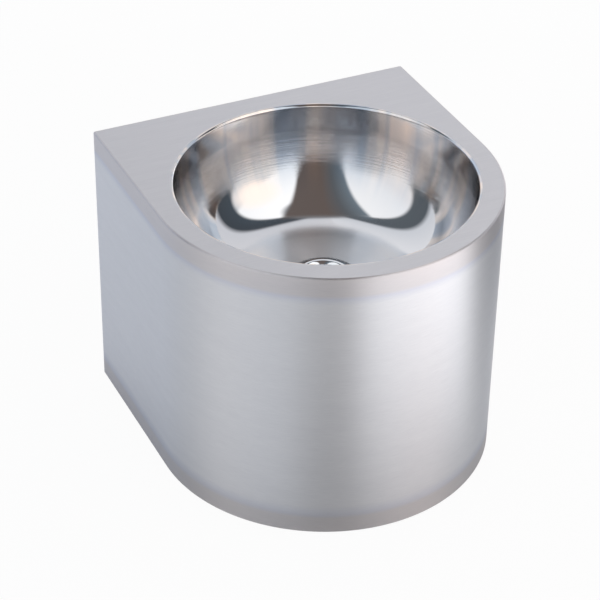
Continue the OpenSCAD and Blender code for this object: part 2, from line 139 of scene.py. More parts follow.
def body_outline(gap):
    """The D outline, going round from the rear to the rear. Gap is half the width that stays open there.
    Each point is (x, y, normal x, normal y, length so far) and lies in by the edge's radius."""
    side, rear = HALF_W - EDGE_R, BACK_Y - EDGE_R
    rear_steps = 10 if gap else 24
    turn = [math.radians(9 * i) for i in range(1, 10)]
    nose = [math.radians(180 + 180 * i / 160) for i in range(1, 160)]
    points = [(x, rear, 0, 1) for x in spread(-gap, -side, rear_steps)]
    points += [(-side, rear, -math.sin(a), math.cos(a)) for a in turn]
    points += [(-side, y, -1, 0) for y in spread(rear, NOSE_Y, 10)]
    points += [(side * math.cos(a), NOSE_Y + side * math.sin(a), math.cos(a), math.sin(a)) for a in nose]
    points += [(side, y, 1, 0) for y in spread(NOSE_Y, rear, 10)]
    points += [(side, rear, math.cos(a), math.sin(a)) for a in turn]
    points += [(x, rear, 0, 1) for x in spread(side, gap, rear_steps)]
    along, before, out = 0, None, []
    for x, y, nx, ny in points:
        here = Vector((x + EDGE_R * nx, y + EDGE_R * ny))
        along += (here - before).length if before is not None else 0
        before = here
        out.append((x, y, nx, ny, along))
    return out


def lay_grain(bm, face, corners, across, along):
    """Writes the map called grain on a face: the distance across the lines of the finish, and the
    distance along them."""
    grain = bm.loops.layers.uv["grain"]
    for loop, (at, up_to) in zip(face.loops, corners):
        loop[grain].uv = (across[up_to] * MM, along[at] * MM)


def length_across(section):
    """The distance from a section's first point to each of its points, and round to the first again."""
    across = [0]
    for (a0, z0), (a1, z1) in zip(section, section[1:] + section[:1]):
        across.append(across[-1] + math.hypot(a1 - a0, z1 - z0))
    return across


def sweep(bm, section, gap=0):
    """Carries a closed section of (inset, height) round the outline."""
    bm.loops.layers.uv.new("grain")
    path = body_outline(gap)
    across, along = length_across(section), [point[4] for point in path]
    rings = []
    for x, y, nx, ny, _ in path:
        ring = [(x + nx * (EDGE_R - d), y + ny * (EDGE_R - d), z) for d, z in section]
        rings.append([bm.verts.new(Vector(point) * MM) for point in ring])
    count = len(section)
    for i in range(len(rings) - 1):
        for j in range(count):
            k = (j + 1) % count
            face = bm.faces.new((rings[i][j], rings[i + 1][j], rings[i + 1][k], rings[i][k]))
            lay_grain(bm, face, ((i, j), (i + 1, j), (i + 1, j + 1), (i, j + 1)), across, along)
    if gap:
        grain = bm.loops.layers.uv["grain"]
        for ring in (rings[0], rings[-1]):
            face = bm.faces.new(ring)
            for corner in face.loops:
                corner[grain].uv = (corner.vert.co.z, corner.vert.co.y)
    return rings


def arc(x, z, r, start, end, steps):
    """Points of a round stretch, from the start angle to the end angle in degrees."""
    turns = [math.radians(start + (end - start) * i / steps) for i in range(steps + 1)]
    return [(x + r * math.cos(a), z + r * math.sin(a)) for a in turns]


def follow_grain(tree, surface):
    """Makes a brushed metal's reflections stretch across its grain, and gives the grain's map."""
    stretch = add_node(tree, "ShaderNodeTangent", direction_type="UV_MAP", uv_map="grain")
    tree.links.new(stretch.outputs[0], surface.inputs["Tangent"])
    return add_node(tree, "ShaderNodeUVMap", uv_map="grain").outputs[0]


def satin_steel(name, lines_mm, tinted):
    """Type 304 stainless steel, dry-linished: fine lines that stretch every reflection across them.
    When tinted, it has painted reflections: a darker straw band at the foot and at the deck's seam, each with
    a bluish line."""
    material, tree, surface = new_material(name, Metallic=1, Anisotropic=0.85)
    grain = follow_grain(tree, surface)
    # The real lines are about 0.1 mm apart. They are drawn at 0.8 mm, because finer ones don't show.
    fine = add_node(
        tree, "ShaderNodeMapping", {"Vector": grain, "Scale": (1 / (0.8 * MM), 1 / (lines_mm * MM), 1)}
    )
    lines = add_node(
        tree, "ShaderNodeTexNoise", {"Vector": fine.outputs[0], "Scale": 1, "Detail": 4, "Roughness": 0.65}
    )
    broad = add_node(
        tree, "ShaderNodeMapping", {"Vector": grain, "Scale": (1 / (9 * MM), 1 / (5 * lines_mm * MM), 1)}
    )
    streaks = add_node(
        tree, "ShaderNodeTexNoise", {"Vector": broad.outputs[0], "Scale": 1, "Detail": 3, "Roughness": 0.5}
    )
    rough = add_node(
        tree, "ShaderNodeMapRange",
        {"Value": lines.outputs[0], "From Min": 0.3, "From Max": 0.7, "To Min": 0.48, "To Max": 0.53}
    )
    tree.links.new(rough.outputs[0], surface.inputs["Roughness"])
    bump = add_node(
        tree, "ShaderNodeBump", {"Height": lines.outputs[0], "Strength": 0.1, "Distance": 0.03 * MM}
    )
    tree.links.new(bump.outputs[0], surface.inputs["Normal"])
    both = add_node(
        tree, "ShaderNodeMath", {0: streaks.outputs[0], 1: 0.35, 2: lines.outputs[0]},
        operation="MULTIPLY_ADD"
    )
    shade = add_node(
        tree, "ShaderNodeMapRange", {"Value": both.outputs[0], "From Min": 0.4, "From Max": 0.95}
    )
    metal = add_node(
        tree, "ShaderNodeMix", {"Factor": shade.outputs[0], "A": linear("d3d4d9"), "B": linear("dddee2")},
        data_type="RGBA"
    )
    colour = metal.outputs["Result"]
    # Painted reflections: darker straw bands at the foot and at the deck's seam, with bluish lines.
    if tinted:
        tint_at = add_node(tree, "ShaderNodeTexCoord")
        height = add_node(tree, "ShaderNodeSeparateXYZ", {"Vector": tint_at.outputs["Object"]})
        level = add_node(
            tree, "ShaderNodeMapRange",
            {"Value": height.outputs["Z"], "From Min": 0, "From Max": TOP_Z * MM, "To Min": 0, "To Max": 1}
        )
        painted_reflection_bands = add_node(tree, "ShaderNodeValToRGB", {"Fac": level.outputs[0]})
        # Painted reflections, from the foot to the face: a darker straw band on the rim where the shaded
        # table near the foot is reflected, a blue line at its seam, clean steel, and the same again at the
        # deck's seam.
        stops = (
            (0, "f0ebe9"), (0.06, "eeeae8"), (0.072, "ededf2"), (0.084, "f3f4f8"), (0.11, "ffffff"),
            (0.9, "ffffff"), (0.915, "f8f9fc"), (0.925, "f0f1f8"), (0.937, "f3efee"), (1, "f6f1ef"),
        )
        ramp = painted_reflection_bands.color_ramp
        for spot, code in stops[1:-1]:
            ramp.elements.new(spot)
        for element, (spot, code) in zip(ramp.elements, stops):
            element.position, element.color = spot, linear(code)
        colour = add_node(
            tree, "ShaderNodeMix", {"Factor": 1.0, "A": colour, "B": painted_reflection_bands.outputs[0]}, data_type="RGBA",
            blend_type="MULTIPLY"
        ).outputs["Result"]
    tree.links.new(colour, surface.inputs["Base Color"])
    return material


# The edge's finish carries the painted reflection bands. The face's finish has none.
satin_edge = satin_steel("satin_stainless_steel_linished_round_the_edge", 14, True)
satin_face = satin_steel("satin_stainless_steel_linished_face", 30, False)


# The rolled edge and its skirt in section as (inset, depth), from the flat face to the tip and back.
rolled_edge = arc(EDGE_R, EDGE_R, EDGE_R, 270, 180, 15)
rolled_edge += [(0, EDGE_R + 0.4), (0, SKIRT - 0.1), (0, SKIRT), (SHEET, SKIRT), (SHEET, EDGE_R + 0.4)]
rolled_edge += arc(EDGE_R, EDGE_R, EDGE_R - SHEET, 180, 270, 9)


def fill_flat(bm, rings, outline, heights, material_index=0):
    """Carries a swept edge inwards as a flat sheet that ends at an outline: its outer face, its inner
    face and the cut edge between them. The lines of its finish run parallel to the wall."""
    grain = bm.loops.layers.uv["grain"]
    count, cut = len(outline), []
    for column, height in zip((0, len(rolled_edge) - 1), heights):
        edge = [bm.verts.new((x * MM, y * MM, height * MM)) for x, y in outline]
        for i in range(count):
            k = (i + 1) % count
            face = bm.faces.new((rings[i][column], rings[k][column], edge[k], edge[i]))
            face.material_index = material_index
            for corner in face.loops:
                corner[grain].uv = (corner.vert.co.y, corner.vert.co.x)
        cut.append(edge)
    for i in range(count):
        k = (i + 1) % count
        bm.faces.new((cut[0][i], cut[0][k], cut[1][k], cut[1][i]))


def open_inside(piece):
    """Takes out the wall that the swept edge leaves inside the sheet, where the flat begins."""
    bm = bmesh.new()
    bm.from_mesh(piece.data)
    wall = [face for face in bm.faces if sum(len(edge.link_faces) == 3 for edge in face.edges) == 2]
    bmesh.ops.delete(bm, geom=wall, context="FACES")
    bm.to_mesh(piece.data)
    bm.free()
    return piece


deck_mesh = bmesh.new()
deck_rings = sweep(deck_mesh, [(d, TOP_Z - depth) for d, depth in rolled_edge])
hole_r, hole = BOWL_R + LIP_R, []
for ring in deck_rings:
    turn = math.atan2(ring[0].co.y - NOSE_Y * MM, ring[0].co.x)
    hole.append((hole_r * math.cos(turn), NOSE_Y + hole_r * math.sin(turn)))
fill_flat(deck_mesh, deck_rings, hole, (TOP_Z, TOP_Z - SHEET), 1)
deck = open_inside(finish_mesh("deck", deck_mesh, satin_edge))
deck.data.materials.append(satin_face)
place(deck, "basin", "satin_steel", "deck_plate")

# Bowl: one disc of stainless steel, spun over a former to an upright wall, a dished floor
# and a recess for the drain flange, then buffed bright inside. The buffing leaves fine rings,
# which stretch the reflections up the wall. Its rolled lip is welded to the deck.
BOWL_DEPTH, KNUCKLE_R, CROWN_R = 118, 88, 600
RECESS_R, RECESS_DEPTH, WASTE_HOLE_R = 36, 4, 24.4
crown_z = TOP_Z - BOWL_DEPTH + CROWN_R
crown_a = math.degrees(math.asin((BOWL_R - KNUCKLE_R) / (CROWN_R - KNUCKLE_R)))
knuckle_z = crown_z - (CROWN_R - KNUCKLE_R) * math.cos(math.radians(crown_a))
seat_z = TOP_Z - BOWL_DEPTH - RECESS_DEPTH


def bowl_face(grow):
    """One face of the bowl's sheet in section, from the lip down to the waste hole."""
    recess_a = math.degrees(math.asin((RECESS_R + grow) / (CROWN_R + grow))) - 90
    wall_top = TOP_Z - LIP_R
    return (
        arc(BOWL_R + LIP_R, wall_top, LIP_R - grow, 90, 180, 10)
        + [(BOWL_R + grow, wall_top + (knuckle_z - wall_top) * i / 12) for i in range(1, 12)]
        + arc(BOWL_R - KNUCKLE_R, knuckle_z, KNUCKLE_R + grow, 0, crown_a - 90, 44)
        + arc(0, crown_z, CROWN_R + grow, crown_a - 90, recess_a, 24)[1:]
        + [(RECESS_R + grow, seat_z - grow), (WASTE_HOLE_R, seat_z - grow)]
    )


def revolve(bm, profile, steps, y, closed=True):
    """Turns a section of (radius, height) about an upright axis."""
    bm.loops.layers.uv.new("grain")
    round_it = 2 * math.pi * max(r for r, _ in profile)
    across, along = length_across(profile), [round_it * i / steps for i in range(steps + 1)]
    rings = []
    for i in range(steps):
        c, s = math.cos(2 * math.pi * i / steps), math.sin(2 * math.pi * i / steps)
        rings.append([bm.verts.new((r * c * MM, (y + r * s) * MM, z * MM)) for r, z in profile])
    count = len(profile)
    for i in range(steps):
        k = (i + 1) % steps
        for j in range(count if closed else count - 1):
            m = (j + 1) % count
            face = bm.faces.new((rings[i][j], rings[k][j], rings[k][m], rings[i][m]))
            lay_grain(bm, face, ((i, j), (i + 1, j), (i + 1, j + 1), (i, j + 1)), across, along)
    return rings


polished_steel, tree, surface = new_material(
    "polished_stainless_steel_buffed_in_rings", Metallic=1, Anisotropic=1.0
)
grain = follow_grain(tree, surface)
# Buffing rings are finer than 0.1 mm. They are drawn 0.8 mm apart, with patches buffed a little less.
rings_at = add_node(
    tree, "ShaderNodeMapping", {"Vector": grain, "Scale": (1 / (0.8 * MM), 1 / (150 * MM), 1)}
)
ring_lines = add_node(tree, "ShaderNodeTexNoise", {"Vector": rings_at.outputs[0], "Scale": 1, "Detail": 3})
spot_on = add_node(tree, "ShaderNodeTexCoord")
patches = add_node(
    tree, "ShaderNodeTexNoise", {"Vector": spot_on.outputs["Object"], "Scale": 14, "Detail": 3}
)
spot_z = add_node(tree, "ShaderNodeSeparateXYZ", {"Vector": spot_on.outputs["Object"]}).outputs["Z"]
# The finish changes over four stretches of height: the floor's haze ends, the painted reflection streaks
# begin, the rings grow deep where the wall turns upright, and they fade again towards the lip.
on_floor, on_wall, rings_grow, rings_fade = (
    add_node(
        tree, "ShaderNodeMapRange",
        {"Value": spot_z, "From Min": start * MM, "From Max": end * MM, "To Min": low, "To Max": high},
        interpolation_type="SMOOTHSTEP"
    ).outputs[0]
    for start, end, low, high in ((203, 194, 0, 0.2), (212, 262, 0, 1), (226, 258, 0, 1), (270, 288, 1, 0.2))
)
ringed = add_node(tree, "ShaderNodeMath", {0: rings_grow, 1: rings_fade}, operation="MULTIPLY").outputs[0]
# The curve between floor and wall is a mirror. Deep rings stretch every reflection up and down.
up_wall = add_node(tree, "ShaderNodeMapRange", {"Value": ringed, "To Min": 0.03, "To Max": 0.13})
rough = add_node(tree, "ShaderNodeMath", {0: up_wall.outputs[0], 1: on_floor}, operation="ADD")
rough = add_node(
    tree, "ShaderNodeMath", {0: patches.outputs[0], 1: 0.02, 2: rough.outputs[0]}, operation="MULTIPLY_ADD"
)
tree.links.new(rough.outputs[0], surface.inputs["Roughness"])
depth = add_node(tree, "ShaderNodeMapRange", {"Value": ringed, "To Min": 0.01, "To Max": 1.0})
bump = add_node(
    tree, "ShaderNodeBump",
    {"Height": ring_lines.outputs[0], "Strength": depth.outputs[0], "Distance": 0.25 * MM}
)
tree.links.new(bump.outputs[0], surface.inputs["Normal"])
metal = add_node(
    tree, "ShaderNodeMix", {"Factor": patches.outputs[0], "A": linear("e9e9ea"), "B": linear("efeff1")},
    data_type="RGBA"
)
# Painted reflections: faint upright streaks are painted round the wall, some 40 mm wide and
# wider, straw-coloured and bluish beside them.
to_axis = add_node(
    tree, "ShaderNodeVectorMath", {0: spot_on.outputs["Object"], 1: (0, -NOSE_Y * MM, 0)}, operation="ADD"
)
in_plan = add_node(tree, "ShaderNodeVectorMath", {0: to_axis.outputs[0], 1: (1, 1, 0)}, operation="MULTIPLY")
way_round = add_node(tree, "ShaderNodeVectorMath", {0: in_plan.outputs[0]}, operation="NORMALIZE")
painted_streak_noise = add_node(
    tree, "ShaderNodeTexNoise",
    {"Vector": way_round.outputs[0], "Scale": BOWL_R / 40, "Detail": 3, "Roughness": 0.5}
)
streak = add_node(
    tree, "ShaderNodeMapRange", {"Value": painted_streak_noise.outputs[0], "From Min": 0.38, "From Max": 0.62},
    interpolation_type="SMOOTHSTEP"
)
streaks = add_node(
    tree, "ShaderNodeMix", {"Factor": streak.outputs[0], "A": linear("c9d2dc"), "B": linear("fff5ec")},
    data_type="RGBA"
)
# The painted reflection streaks are laid on the wall only, above the plain floor.
tint = add_node(
    tree, "ShaderNodeMix", {"Factor": on_wall, "A": linear("efefef"), "B": streaks.outputs["Result"]},
    data_type="RGBA"
)
metal = add_node(
    tree, "ShaderNodeMix", {"Factor": 1.0, "A": metal.outputs["Result"], "B": tint.outputs["Result"]},
    data_type="RGBA", blend_type="MULTIPLY"
)
tree.links.new(metal.outputs["Result"], surface.inputs["Base Color"])

bowl_mesh = bmesh.new()
revolve(bowl_mesh, bowl_face(0) + bowl_face(SHEET)[::-1], 256, NOSE_Y)
# Only the inside is buffed. The underside keeps the finish that the sheet came with.
face_points = len(bowl_face(0))
for number, face in enumerate(bowl_mesh.faces):
    face.material_index = int(number % (2 * face_points) >= face_points)
bowl = place(finish_mesh("bowl", bowl_mesh, polished_steel), "basin", "polished_steel", "bowl")

# Apron: one sheet wrapped round the nose and both sides, with two bent flanges that lie
# on the wall. It is welded to the deck's skirt and to the bottom rim, and the seams are
# dressed flush. The lower fixing holes go through its flanges.
FLANGE, FIXING_X, FIXING_Z, FIXING_R = 35, 160, 65, 4.5
apron_mesh = bmesh.new()
heights = spread(SKIRT, TOP_Z - SKIRT, 12)
sweep(apron_mesh, [(0, z) for z in heights] + [(SHEET, z) for z in heights[::-1]], HALF_W - FLANGE)
apron = finish_mesh("apron", apron_mesh, satin_edge)


def as_mesh(worked, modifier):
    """What a modifier makes of an object, as a plain mesh. The modifier is removed."""
    bpy.context.view_layer.update()
    done = bpy.data.meshes.new_from_object(worked.evaluated_get(bpy.context.evaluated_depsgraph_get()))
    worked.modifiers.remove(modifier)
    return done


def combine(piece, tool_mesh, how):
    """Cuts or joins one solid with another."""
    bmesh.ops.recalc_face_normals(tool_mesh, faces=tool_mesh.faces)
    mesh = bpy.data.meshes.new("tool")
    tool_mesh.to_mesh(mesh)
    tool_mesh.free()
    tool = bpy.data.objects.new("tool", mesh)
    bpy.context.scene.collection.objects.link(tool)
    step = piece.modifiers.new("step", "BOOLEAN")
    step.operation, step.object, step.solver = how, tool, "EXACT"
    step.use_self = True
    piece.data = as_mesh(piece, step)
    bpy.data.objects.remove(tool)


drills = bmesh.new()
for side in (-1, 1):
    through = move_to(side * FIXING_X, BACK_Y, FIXING_Z) @ Matrix.Rotation(math.pi / 2, 4, "X")
    bmesh.ops.create_cone(
        drills, cap_ends=True, segments=48, radius1=FIXING_R * MM, radius2=FIXING_R * MM, depth=20 * MM,
        matrix=through
    )
combine(apron, drills, "DIFFERENCE")
place(apron, "basin", "satin_steel", "apron")

# Bottom rim: a rolled edge with an upstand that meets the apron, and a flat return that
# goes 15 mm inwards and stiffens the open underside.
RIM_W = 15
rim_mesh = bmesh.new()
rim_rings = sweep(rim_mesh, rolled_edge)
# The return's inner edge follows the outline at a constant width, with square corners at the rear.
shrink = (HALF_W - RIM_W) / (HALF_W - EDGE_R)
inner_outline = []
for x, y, *_ in body_outline(0):
    if y >= NOSE_Y:
        inner_outline.append((max(RIM_W - HALF_W, min(HALF_W - RIM_W, x)), min(BACK_Y - RIM_W, y)))
    else:
        inner_outline.append((x * shrink, NOSE_Y + (y - NOSE_Y) * shrink))
fill_flat(rim_mesh, rim_rings, inner_outline, (0, SHEET))
bottom_rim = open_inside(finish_mesh("bottom_rim_welded", rim_mesh, satin_edge))
place(bottom_rim, "basin", "satin_steel", "bottom_rim")

# Sound pad: a ring of bitumen-filled damping sheet, 2 mm thick. It is glued under the
# dished floor, so that falling water doesn't drum.


def mottled(name, low, high, grain_mm, rough, relief_mm, **shader):
    """A material whose colour, gloss and relief vary in one fine grain."""
    material, tree, surface = new_material(name, **shader)
    on = add_node(tree, "ShaderNodeTexCoord")
    cloud = add_node(
        tree, "ShaderNodeTexNoise",
        {"Vector": on.outputs["Object"], "Scale": 1 / (grain_mm * MM), "Detail": 4}
    )
    colour = add_node(
        tree, "ShaderNodeMix", {"Factor": cloud.outputs[0], "A": linear(low), "B": linear(high)},
        data_type="RGBA"
    )
    tree.links.new(colour.outputs["Result"], surface.inputs["Base Color"])
    gloss = add_node(
        tree, "ShaderNodeMapRange",
        {"Value": cloud.outputs[0], "From Min": 0.3, "From Max": 0.7, "To Min": rough[0], "To Max": rough[1]}
    )
    tree.links.new(gloss.outputs[0], surface.inputs["Roughness"])
    bump = add_node(
        tree, "ShaderNodeBump", {"Height": cloud.outputs[0], "Strength": 0.4, "Distance": relief_mm * MM}
    )
    tree.links.new(bump.outputs[0], surface.inputs["Normal"])
    return material


def dress(material, *nodes):
    """Gives its finish to a solid whose shape is right."""
    for node in nodes:
        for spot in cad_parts[node].material_slots:
            spot.material = material


# Bitumen sheet is nearly black and dull, with a fine sanded face.
damping_sheet = mottled("bitumen_damping_sheet_sanded", "3a3b3e", "4b4c4f", 1.2, (0.78, 0.9), 0.25)
dress(damping_sheet, "sound_pad")

# Hanger angle: 2.5 mm stainless steel, folded. Its ledge is stitch-welded under the deck,
# and its leg hooks over the wall bracket and carries the basin.
UNDER_DECK, LEDGE_Y = TOP_Z - SHEET, 156.5
# Cold-rolled sheet keeps a grey, slightly cloudy sheen. The bowl's underside has it too.
mill_steel = mottled(
    "cold_rolled_stainless_steel_mill_finish", "a9aaac", "b9babb", 6, (0.34, 0.46), 0.02, Metallic=1
)
dress(mill_steel, "hanger_angle")
bowl.data.materials.append(mill_steel)


def tree_with(name, inputs):
    """A Geometry Nodes tree with its named inputs: (tree, input node)."""
    tree = bpy.data.node_groups.new(name, "GeometryNodeTree")
    tree.interface.new_socket("Geometry", in_out="INPUT", socket_type="NodeSocketGeometry")
    for label, kind in inputs:
        tree.interface.new_socket(label, in_out="INPUT", socket_type="NodeSocket" + kind)
    tree.interface.new_socket("Geometry", in_out="OUTPUT", socket_type="NodeSocketGeometry")
    return tree, add_node(tree, "NodeGroupInput")


def end_tree(tree, shape, material):
    """Ends a tree: real faces, a material, and the output."""
    real = add_node(tree, "GeometryNodeRealizeInstances", {"Geometry": shape})
    finished = add_node(tree, "GeometryNodeSetMaterial", {"Geometry": real.outputs[0], "Material": material})
    add_node(tree, "NodeGroupOutput", {"Geometry": finished.outputs[0]})
    return tree


def made(tree, sizes, base=None):
    """Runs a tree with its sizes on a base mesh, and gives the result as a plain mesh."""
    holder = bpy.data.objects.new("holder", base or bpy.data.meshes.new("nothing"))
    bpy.context.scene.collection.objects.link(holder)
    work = holder.modifiers.new("work", "NODES")
    work.node_group = tree
    for item in tree.interface.items_tree:
        if item.in_out == "INPUT" and item.name in sizes:
            work[item.identifier] = sizes[item.name]
    done = as_mesh(holder, work)
    bpy.data.objects.remove(holder)
    return done


# Weld metal is smooth and a little cloudy, with a straw tint from the heat. A stitch is a row of
# overlapping puddles that differ slightly in size.
weld_metal = mottled(
    "stainless_steel_weld_bead_straw_tinted", "a79b86", "b5b1aa", 3, (0.3, 0.45), 0.05, Metallic=1
)
stitch, sizes_in = tree_with(
    "weld_stitch", (("Start", "Vector"), ("Step", "Vector"), ("Puddles", "Int"), ("Radius", "Float"))
)
puddles = add_node(
    stitch, "GeometryNodeMeshLine",
    {
        "Count": sizes_in.outputs["Puddles"], "Start Location": sizes_in.outputs["Start"],
        "Offset": sizes_in.outputs["Step"]
    },
    mode="OFFSET"
)
puddle = add_node(
    stitch, "GeometryNodeMeshIcoSphere", {"Radius": sizes_in.outputs["Radius"], "Subdivisions": 2}
)
uneven = add_node(stitch, "FunctionNodeRandomValue", {2: 0.9, 3: 1.05, "Seed": 4})
row = add_node(
    stitch, "GeometryNodeInstanceOnPoints",
    {"Points": puddles.outputs[0], "Instance": puddle.outputs[0], "Scale": uneven.outputs[1]}
)
end_tree(stitch, row.outputs[0], weld_metal)


def weld_stitches(name, starts, step, puddle_count, radius):
    """Stitch welds that start at each of the given points."""
    bm = bmesh.new()
    for start in starts:
        bm.from_mesh(
            made(
                stitch,
                {
                    "Start": Vector(start) * MM, "Step": Vector(step) * MM, "Puddles": puddle_count,
                    "Radius": radius * MM
                }
            )
        )
    bead = finish_mesh(name, bm, weld_metal)
    return place(bead, "basin", "mill_steel")


PUDDLE_STEP, WELD_DROP = 1.3, 0.3
stitch_starts = [(x, LEDGE_Y, UNDER_DECK - WELD_DROP) for x in (-112, -70, 46, 88)]
weld_stitches("hanger_welds", stitch_starts, (PUDDLE_STEP, 0, 0), 19, 1.6)

# Wall bracket: 2.5 mm stainless steel, folded to a shelf and a lip. It is screwed to the
# wall through two slots, and the basin hangs on its lip.
dress(mill_steel, "wall_bracket")

# Fixing plates: 3 mm stainless steel, stitch-welded behind the apron's rear flanges, where
# the two lower wall screws pull.
dress(mill_steel, "fixing_pad_left", "fixing_pad_right")
PAD_HALF_W, PAD_HALF_H = 12, 22
stitch_starts = [
    (side * FIXING_X - PAD_HALF_W + 3, BACK_Y - SHEET - WELD_DROP, FIXING_Z + end * PAD_HALF_H)
    for side in (-1, 1) for end in (1, -1)
]
weld_stitches("fixing_plate_welds", stitch_starts, (PUDDLE_STEP, 0, 0), 15, 1.4)

# Earth point: a drilled tab welded under the deck, with a brass screw, washer and nut for
# the bonding wire.
EARTH_X, EARTH_Y, EARTH_Z = -130, 130.5, 288.5
TAB, WASHER, EARTH_R, SCREW_TIP = 2, 1.2, 3, 14
dress(mill_steel, "earth_tab")
# Machined brass is warm yellow with fine turning marks.
brass = mottled("natural_brass_machined", "c3a057", "d2b36c", 2, (0.22, 0.34), 0.01, Metallic=1)
dress(brass, "earth_washer")
weld_stitches(
    "earth_tab_weld", [(EARTH_X, EARTH_Y - 7.5, UNDER_DECK - WELD_DROP)], (0, PUDDLE_STEP, 0), 12, 1.3
)

# A thread is a ridge with four edges that winds up its core.
thread, sizes_in = tree_with(
    "screw_thread",
    (("Core", "Float"), ("Depth", "Float"), ("Pitch", "Float"), ("Turns", "Float"), ("Steps", "Int"))
)
rise = add_node(
    thread, "ShaderNodeMath", {0: sizes_in.outputs["Pitch"], 1: sizes_in.outputs["Turns"]},
    operation="MULTIPLY"
)
winding = add_node(
    thread, "GeometryNodeCurveSpiral",
    {
        "Resolution": sizes_in.outputs["Steps"], "Rotations": sizes_in.outputs["Turns"],
        "Start Radius": sizes_in.outputs["Core"], "End Radius": sizes_in.outputs["Core"],
        "Height": rise.outputs[0]
    }
)
standing = add_node(thread, "GeometryNodeSetCurveNormal", {"Curve": winding.outputs[0]}, mode="Z_UP")
ridge = add_node(
    thread, "GeometryNodeCurvePrimitiveCircle", {"Resolution": 4, "Radius": sizes_in.outputs["Depth"]},
    mode="RADIUS"
)
wound = add_node(
    thread, "GeometryNodeCurveToMesh",
    {"Curve": standing.outputs[0], "Profile Curve": ridge.outputs[0], "Fill Caps": True}
)
end_tree(thread, wound.outputs[0], brass)


def add_thread(bm, core, depth, pitch, low, high, steps, turn):
    """Adds a thread that fills the stretch between two heights on the Z axis, taken to its place."""
    turns = (high - low - 2 * depth) / pitch
    run = made(
        thread, {"Core": core * MM, "Depth": depth * MM, "Pitch": pitch * MM, "Turns": turns, "Steps": steps}
    )
    run.transform(turn @ move_to(0, 0, low + depth))
    bm.from_mesh(run)


def turned(bm, profile, steps, turn, closed=True):
    """Adds a turned piece whose axis is taken to its place."""
    piece = bmesh.new()
    revolve(piece, profile, steps, 0, closed)
    bmesh.ops.remove_doubles(piece, verts=piece.verts, dist=1e-6)
    piece.transform(turn)
    whole = bpy.data.meshes.new("turned")
    piece.to_mesh(whole)
    piece.free()
    bm.from_mesh(whole)


along_x = move_to(EARTH_X, EARTH_Y, EARTH_Z) @ Matrix.Rotation(math.pi / 2, 4, "Y")
screw_mesh = bmesh.new()
core, thread_end = EARTH_R - 0.55, SCREW_TIP - 0.4
domed_head = [(0, -TAB - 3.6), (2.6, -TAB - 3.5), (4.4, -TAB - 2.9), (5.1, -TAB - 1.6), (5.1, -TAB)]
shank = [
    (EARTH_R, -TAB), (EARTH_R, -0.4), (core, 0), (core, thread_end), (core - 0.8, SCREW_TIP), (0, SCREW_TIP)
]
turned(screw_mesh, domed_head + shank, 48, along_x, False)
add_thread(screw_mesh, core, 0.52, 1, 0.4, thread_end, 24, along_x)
place(finish_mesh("earth_screw_threaded", screw_mesh, brass, 40), "basin", "brass", "earth_screw")


def hex_nut(bm, flats, bore, low, high, chamfer, turn):
    """A six-sided nut with rounded-off corners at both faces."""
    corner, flat_r, ease, steps = flats / math.sqrt(3), flats / 2, 0.8, 72
    outside = ((low, flat_r), (low + chamfer, corner), (high - chamfer, corner), (high, flat_r))
    inside = ((high, bore + ease), (high - ease, bore), (low + ease, bore), (low, bore + ease))
    loops = []
    for rounds, flat_sided in ((outside, True), (inside, False)):
        for level, reach in rounds:
            loop = []
            for i in range(steps):
                a = 2 * math.pi * i / steps
                to_side = flat_r / math.cos(a % (math.pi / 3) - math.pi / 6)
                r = min(to_side, reach) if flat_sided else reach
                loop.append(bm.verts.new(turn @ (Vector((r * math.cos(a), r * math.sin(a), level)) * MM)))
            loops.append(loop)
    for lower_ring, upper_ring in zip(loops, loops[1:] + loops[:1]):
        for i in range(steps):
            k = (i + 1) % steps
            bm.faces.new((lower_ring[i], lower_ring[k], upper_ring[k], upper_ring[i]))


EARTH_FLATS, EARTH_NUT = 0.96 * 6 * math.sqrt(3), 4.8
nut_mesh = bmesh.new()
hex_nut(nut_mesh, EARTH_FLATS, EARTH_R + 0.3, WASHER, WASHER + EARTH_NUT, 0.7, along_x)
place(finish_mesh("earth_nut_chamfered", nut_mesh, brass, 30), "basin", "brass", "earth_nut")

# Waste: a forged and turned brass body with a rounded flange, chromium-plated. Its tail
# goes down through the bowl, and three spider arms in the bore hold the grate's screw.
FLANGE_Z, FLANGE_R, FLANGE_H, FLANGE_RIM = seat_z + 2, 35, 6, 0.8
WASTE_R, WASTE_BORE, WASTE_END = 23.9, 21.9, seat_z - 43
GRATE_T, SPIDER_Z, SPIDER_H = 1.5, seat_z - 15, 7
at_drain = move_to(0, NOSE_Y, 0)
# The flange's top is an arch between its rim and the bore, and the grate lies 1.5 mm below its foot.
half_arch, arch_h = (FLANGE_R - WASTE_BORE) / 2, FLANGE_H - FLANGE_RIM
arch_r = (half_arch**2 + arch_h**2) / (2 * arch_h)
arch_turn = math.degrees(math.asin(half_arch / arch_r))
grate_z = FLANGE_Z - 1.5 - GRATE_T
# Chromium is a clear mirror, a little bluer than steel, with faint wiping marks.
chrome = mottled("chromium_plated_brass_polished", "dcdee1", "e4e6e8", 9, (0.05, 0.09), 0.004, Metallic=1)
waste_mesh = bmesh.new()
thread_core, thread_top, tail_r = WASTE_R - 1.05, FLANGE_Z - 2.4, WASTE_R - 0.2
tail = [
    (WASTE_BORE, WASTE_END), (thread_core, WASTE_END), (thread_core, thread_top), (tail_r, thread_top + 0.8),
    (tail_r, FLANGE_Z)
]
flange = [(FLANGE_R - 0.2, FLANGE_Z), (FLANGE_R, FLANGE_Z + 0.2)]
flange += arc(
    (FLANGE_R + WASTE_BORE) / 2, FLANGE_Z + FLANGE_H - arch_r, arch_r, 90 - arch_turn, 90 + arch_turn, 40
)
ledge = [
    (WASTE_BORE, grate_z + 3), (WASTE_BORE, grate_z), (WASTE_BORE - 2, grate_z),
    (WASTE_BORE - 2, grate_z - 2), (WASTE_BORE, grate_z - 2)
]
turned(waste_mesh, tail + flange + ledge, 192, at_drain)
